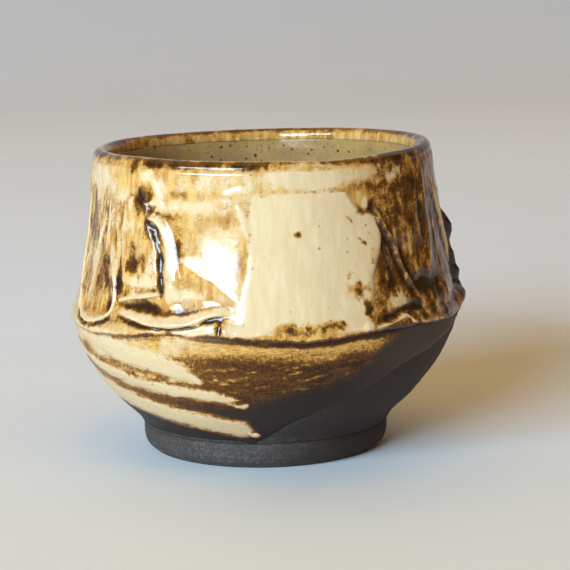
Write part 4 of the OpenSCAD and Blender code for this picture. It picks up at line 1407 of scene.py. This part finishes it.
class TEABOWL_OT_stage(bpy.types.Operator):
    """Pale floor and sweep, soft window light from the front left, camera"""
    bl_idname = "teabowl.stage"
    bl_label = "Stage, light and camera"

    def execute(self, context):
        scene = context.scene
        scene.view_settings.view_transform = "Standard"
        self.floor(scene)
        self.lights(scene)
        cam = bpy.data.cameras.new("camera")
        cam.lens = CAMERA_LENS
        cam.sensor_width = CAMERA_SENSOR
        cam.clip_end = 30.0
        ob = bpy.data.objects.new("camera", cam)
        scene.collection.objects.link(ob)
        tilt = Matrix.Rotation(math.pi / 2 - CAMERA_DOWN, 4, "X") @ Matrix.Rotation(CAMERA_ROLL, 4, "Z")
        ob.matrix_world = Matrix.Translation(CAMERA_AT) @ tilt
        scene.camera = ob
        return {"FINISHED"}

    def floor(self, scene):
        """Floor that sweeps up behind the bowl."""
        bend = np.linspace(0.1, 1.57, 14)
        y = np.concatenate([np.linspace(-3, SWEEP_R, 12), SWEEP_R + SWEEP_R * np.sin(bend), [2 * SWEEP_R]])
        z = np.concatenate([np.zeros(12), SWEEP_R - SWEEP_R * np.cos(bend), [3.0]])
        x, y = np.meshgrid(np.linspace(-3, 3, 9), y)
        points = np.stack([x, y, z[:, None] + 0 * x], -1).reshape(-1, 3)
        faces = grid_faces(np.arange(x.size).reshape(x.shape), flip=True)
        mesh = bpy.data.meshes.new("floor")
        mesh.from_pydata(points.tolist(), [], faces.tolist())
        mesh.shade_smooth()
        mat, tree, shader, coords = start_material("pale_floor")
        back = axes(tree, coords)[1]
        base = mix_colour(tree, eased(tree, back, -0.15, 0.3), rgba(FLOOR_NEAR), rgba(FLOOR_BEHIND))
        base = mix_colour(tree, eased(tree, back, 0.7, 2.4), base, rgba(FLOOR_FAR))
        soft = eased(tree, grain(tree, coords, 9, 3), 0.3, 0.7, 0.0, 0.05)
        base = mix_colour(tree, soft, base, rgba(FLOOR_BLOT))
        tree.links.new(base, shader.inputs["Base Color"])
        shader.inputs["Roughness"].default_value = 0.6
        mesh.materials.append(mat)
        ob = bpy.data.objects.new("floor", mesh)
        scene.collection.objects.link(ob)

    def lights(self, scene):
        """Window at the front left, broad soft light overhead, and a low fill from all round."""
        world = bpy.data.worlds.new("soft_room")
        world.use_nodes = True
        back = world.node_tree.nodes["Background"]
        back.inputs[0].default_value = rgba(FILL_COLOUR)
        back.inputs[1].default_value = FILL_STRENGTH
        scene.world = world
        for name, (round_from_front, up, away, size, power, colour) in LAMPS.items():
            data = bpy.data.lights.new(name, "AREA")
            data.shape = "RECTANGLE"
            data.size, data.size_y = size
            data.energy = power
            data.color = colour
            ob = bpy.data.objects.new(name, data)
            scene.collection.objects.link(ob)
            a, e = round_from_front * DEG, up * DEG
            way = Vector((math.sin(a) * math.cos(e), -math.cos(a) * math.cos(e), math.sin(e)))
            ob.location = way * away + Vector((0, 0, AIM_Z))
            ob.rotation_euler = (-way).to_track_quat("-Z", "Y").to_euler()


class TEABOWL_PT_panel(bpy.types.Panel):
    """Lists the steps that build the tea bowl"""
    bl_idname = "TEABOWL_PT_panel"
    bl_label = "Tea Bowl"
    bl_space_type = "VIEW_3D"
    bl_region_type = "UI"
    bl_category = "Tea Bowl"

    def draw(self, context):
        for step in STEPS:
            self.layout.operator(step.bl_idname)
        for group in (context.scene.tea_bowl_sizes, context.scene.tea_bowl_colours):
            box = self.layout.box()
            for name in group.bl_rna.properties.keys():
                if name not in ("rna_type", "name"):
                    box.prop(group, name)


STEPS = (
    TEABOWL_OT_clay, TEABOWL_OT_liner, TEABOWL_OT_wall, TEABOWL_OT_waist, TEABOWL_OT_rim, TEABOWL_OT_belly,
    TEABOWL_OT_patches, TEABOWL_OT_ridges, TEABOWL_OT_swipes, TEABOWL_OT_specks, TEABOWL_OT_stage)
CLASSES = (TeaBowlSizes, TeaBowlColours) + STEPS + (TEABOWL_PT_panel,)


def register():
    for item in CLASSES:
        bpy.utils.register_class(item)
    bpy.types.Scene.tea_bowl_sizes = PointerProperty(type=TeaBowlSizes)
    bpy.types.Scene.tea_bowl_colours = PointerProperty(type=TeaBowlColours)


def unregister():
    del bpy.types.Scene.tea_bowl_sizes
    del bpy.types.Scene.tea_bowl_colours
    for item in reversed(CLASSES):
        bpy.utils.unregister_class(item)


def main():
    register()
    for step in STEPS:
        space, name = step.bl_idname.split(".")
        getattr(getattr(bpy.ops, space), name)()


if __name__ == "__main__":
    main()
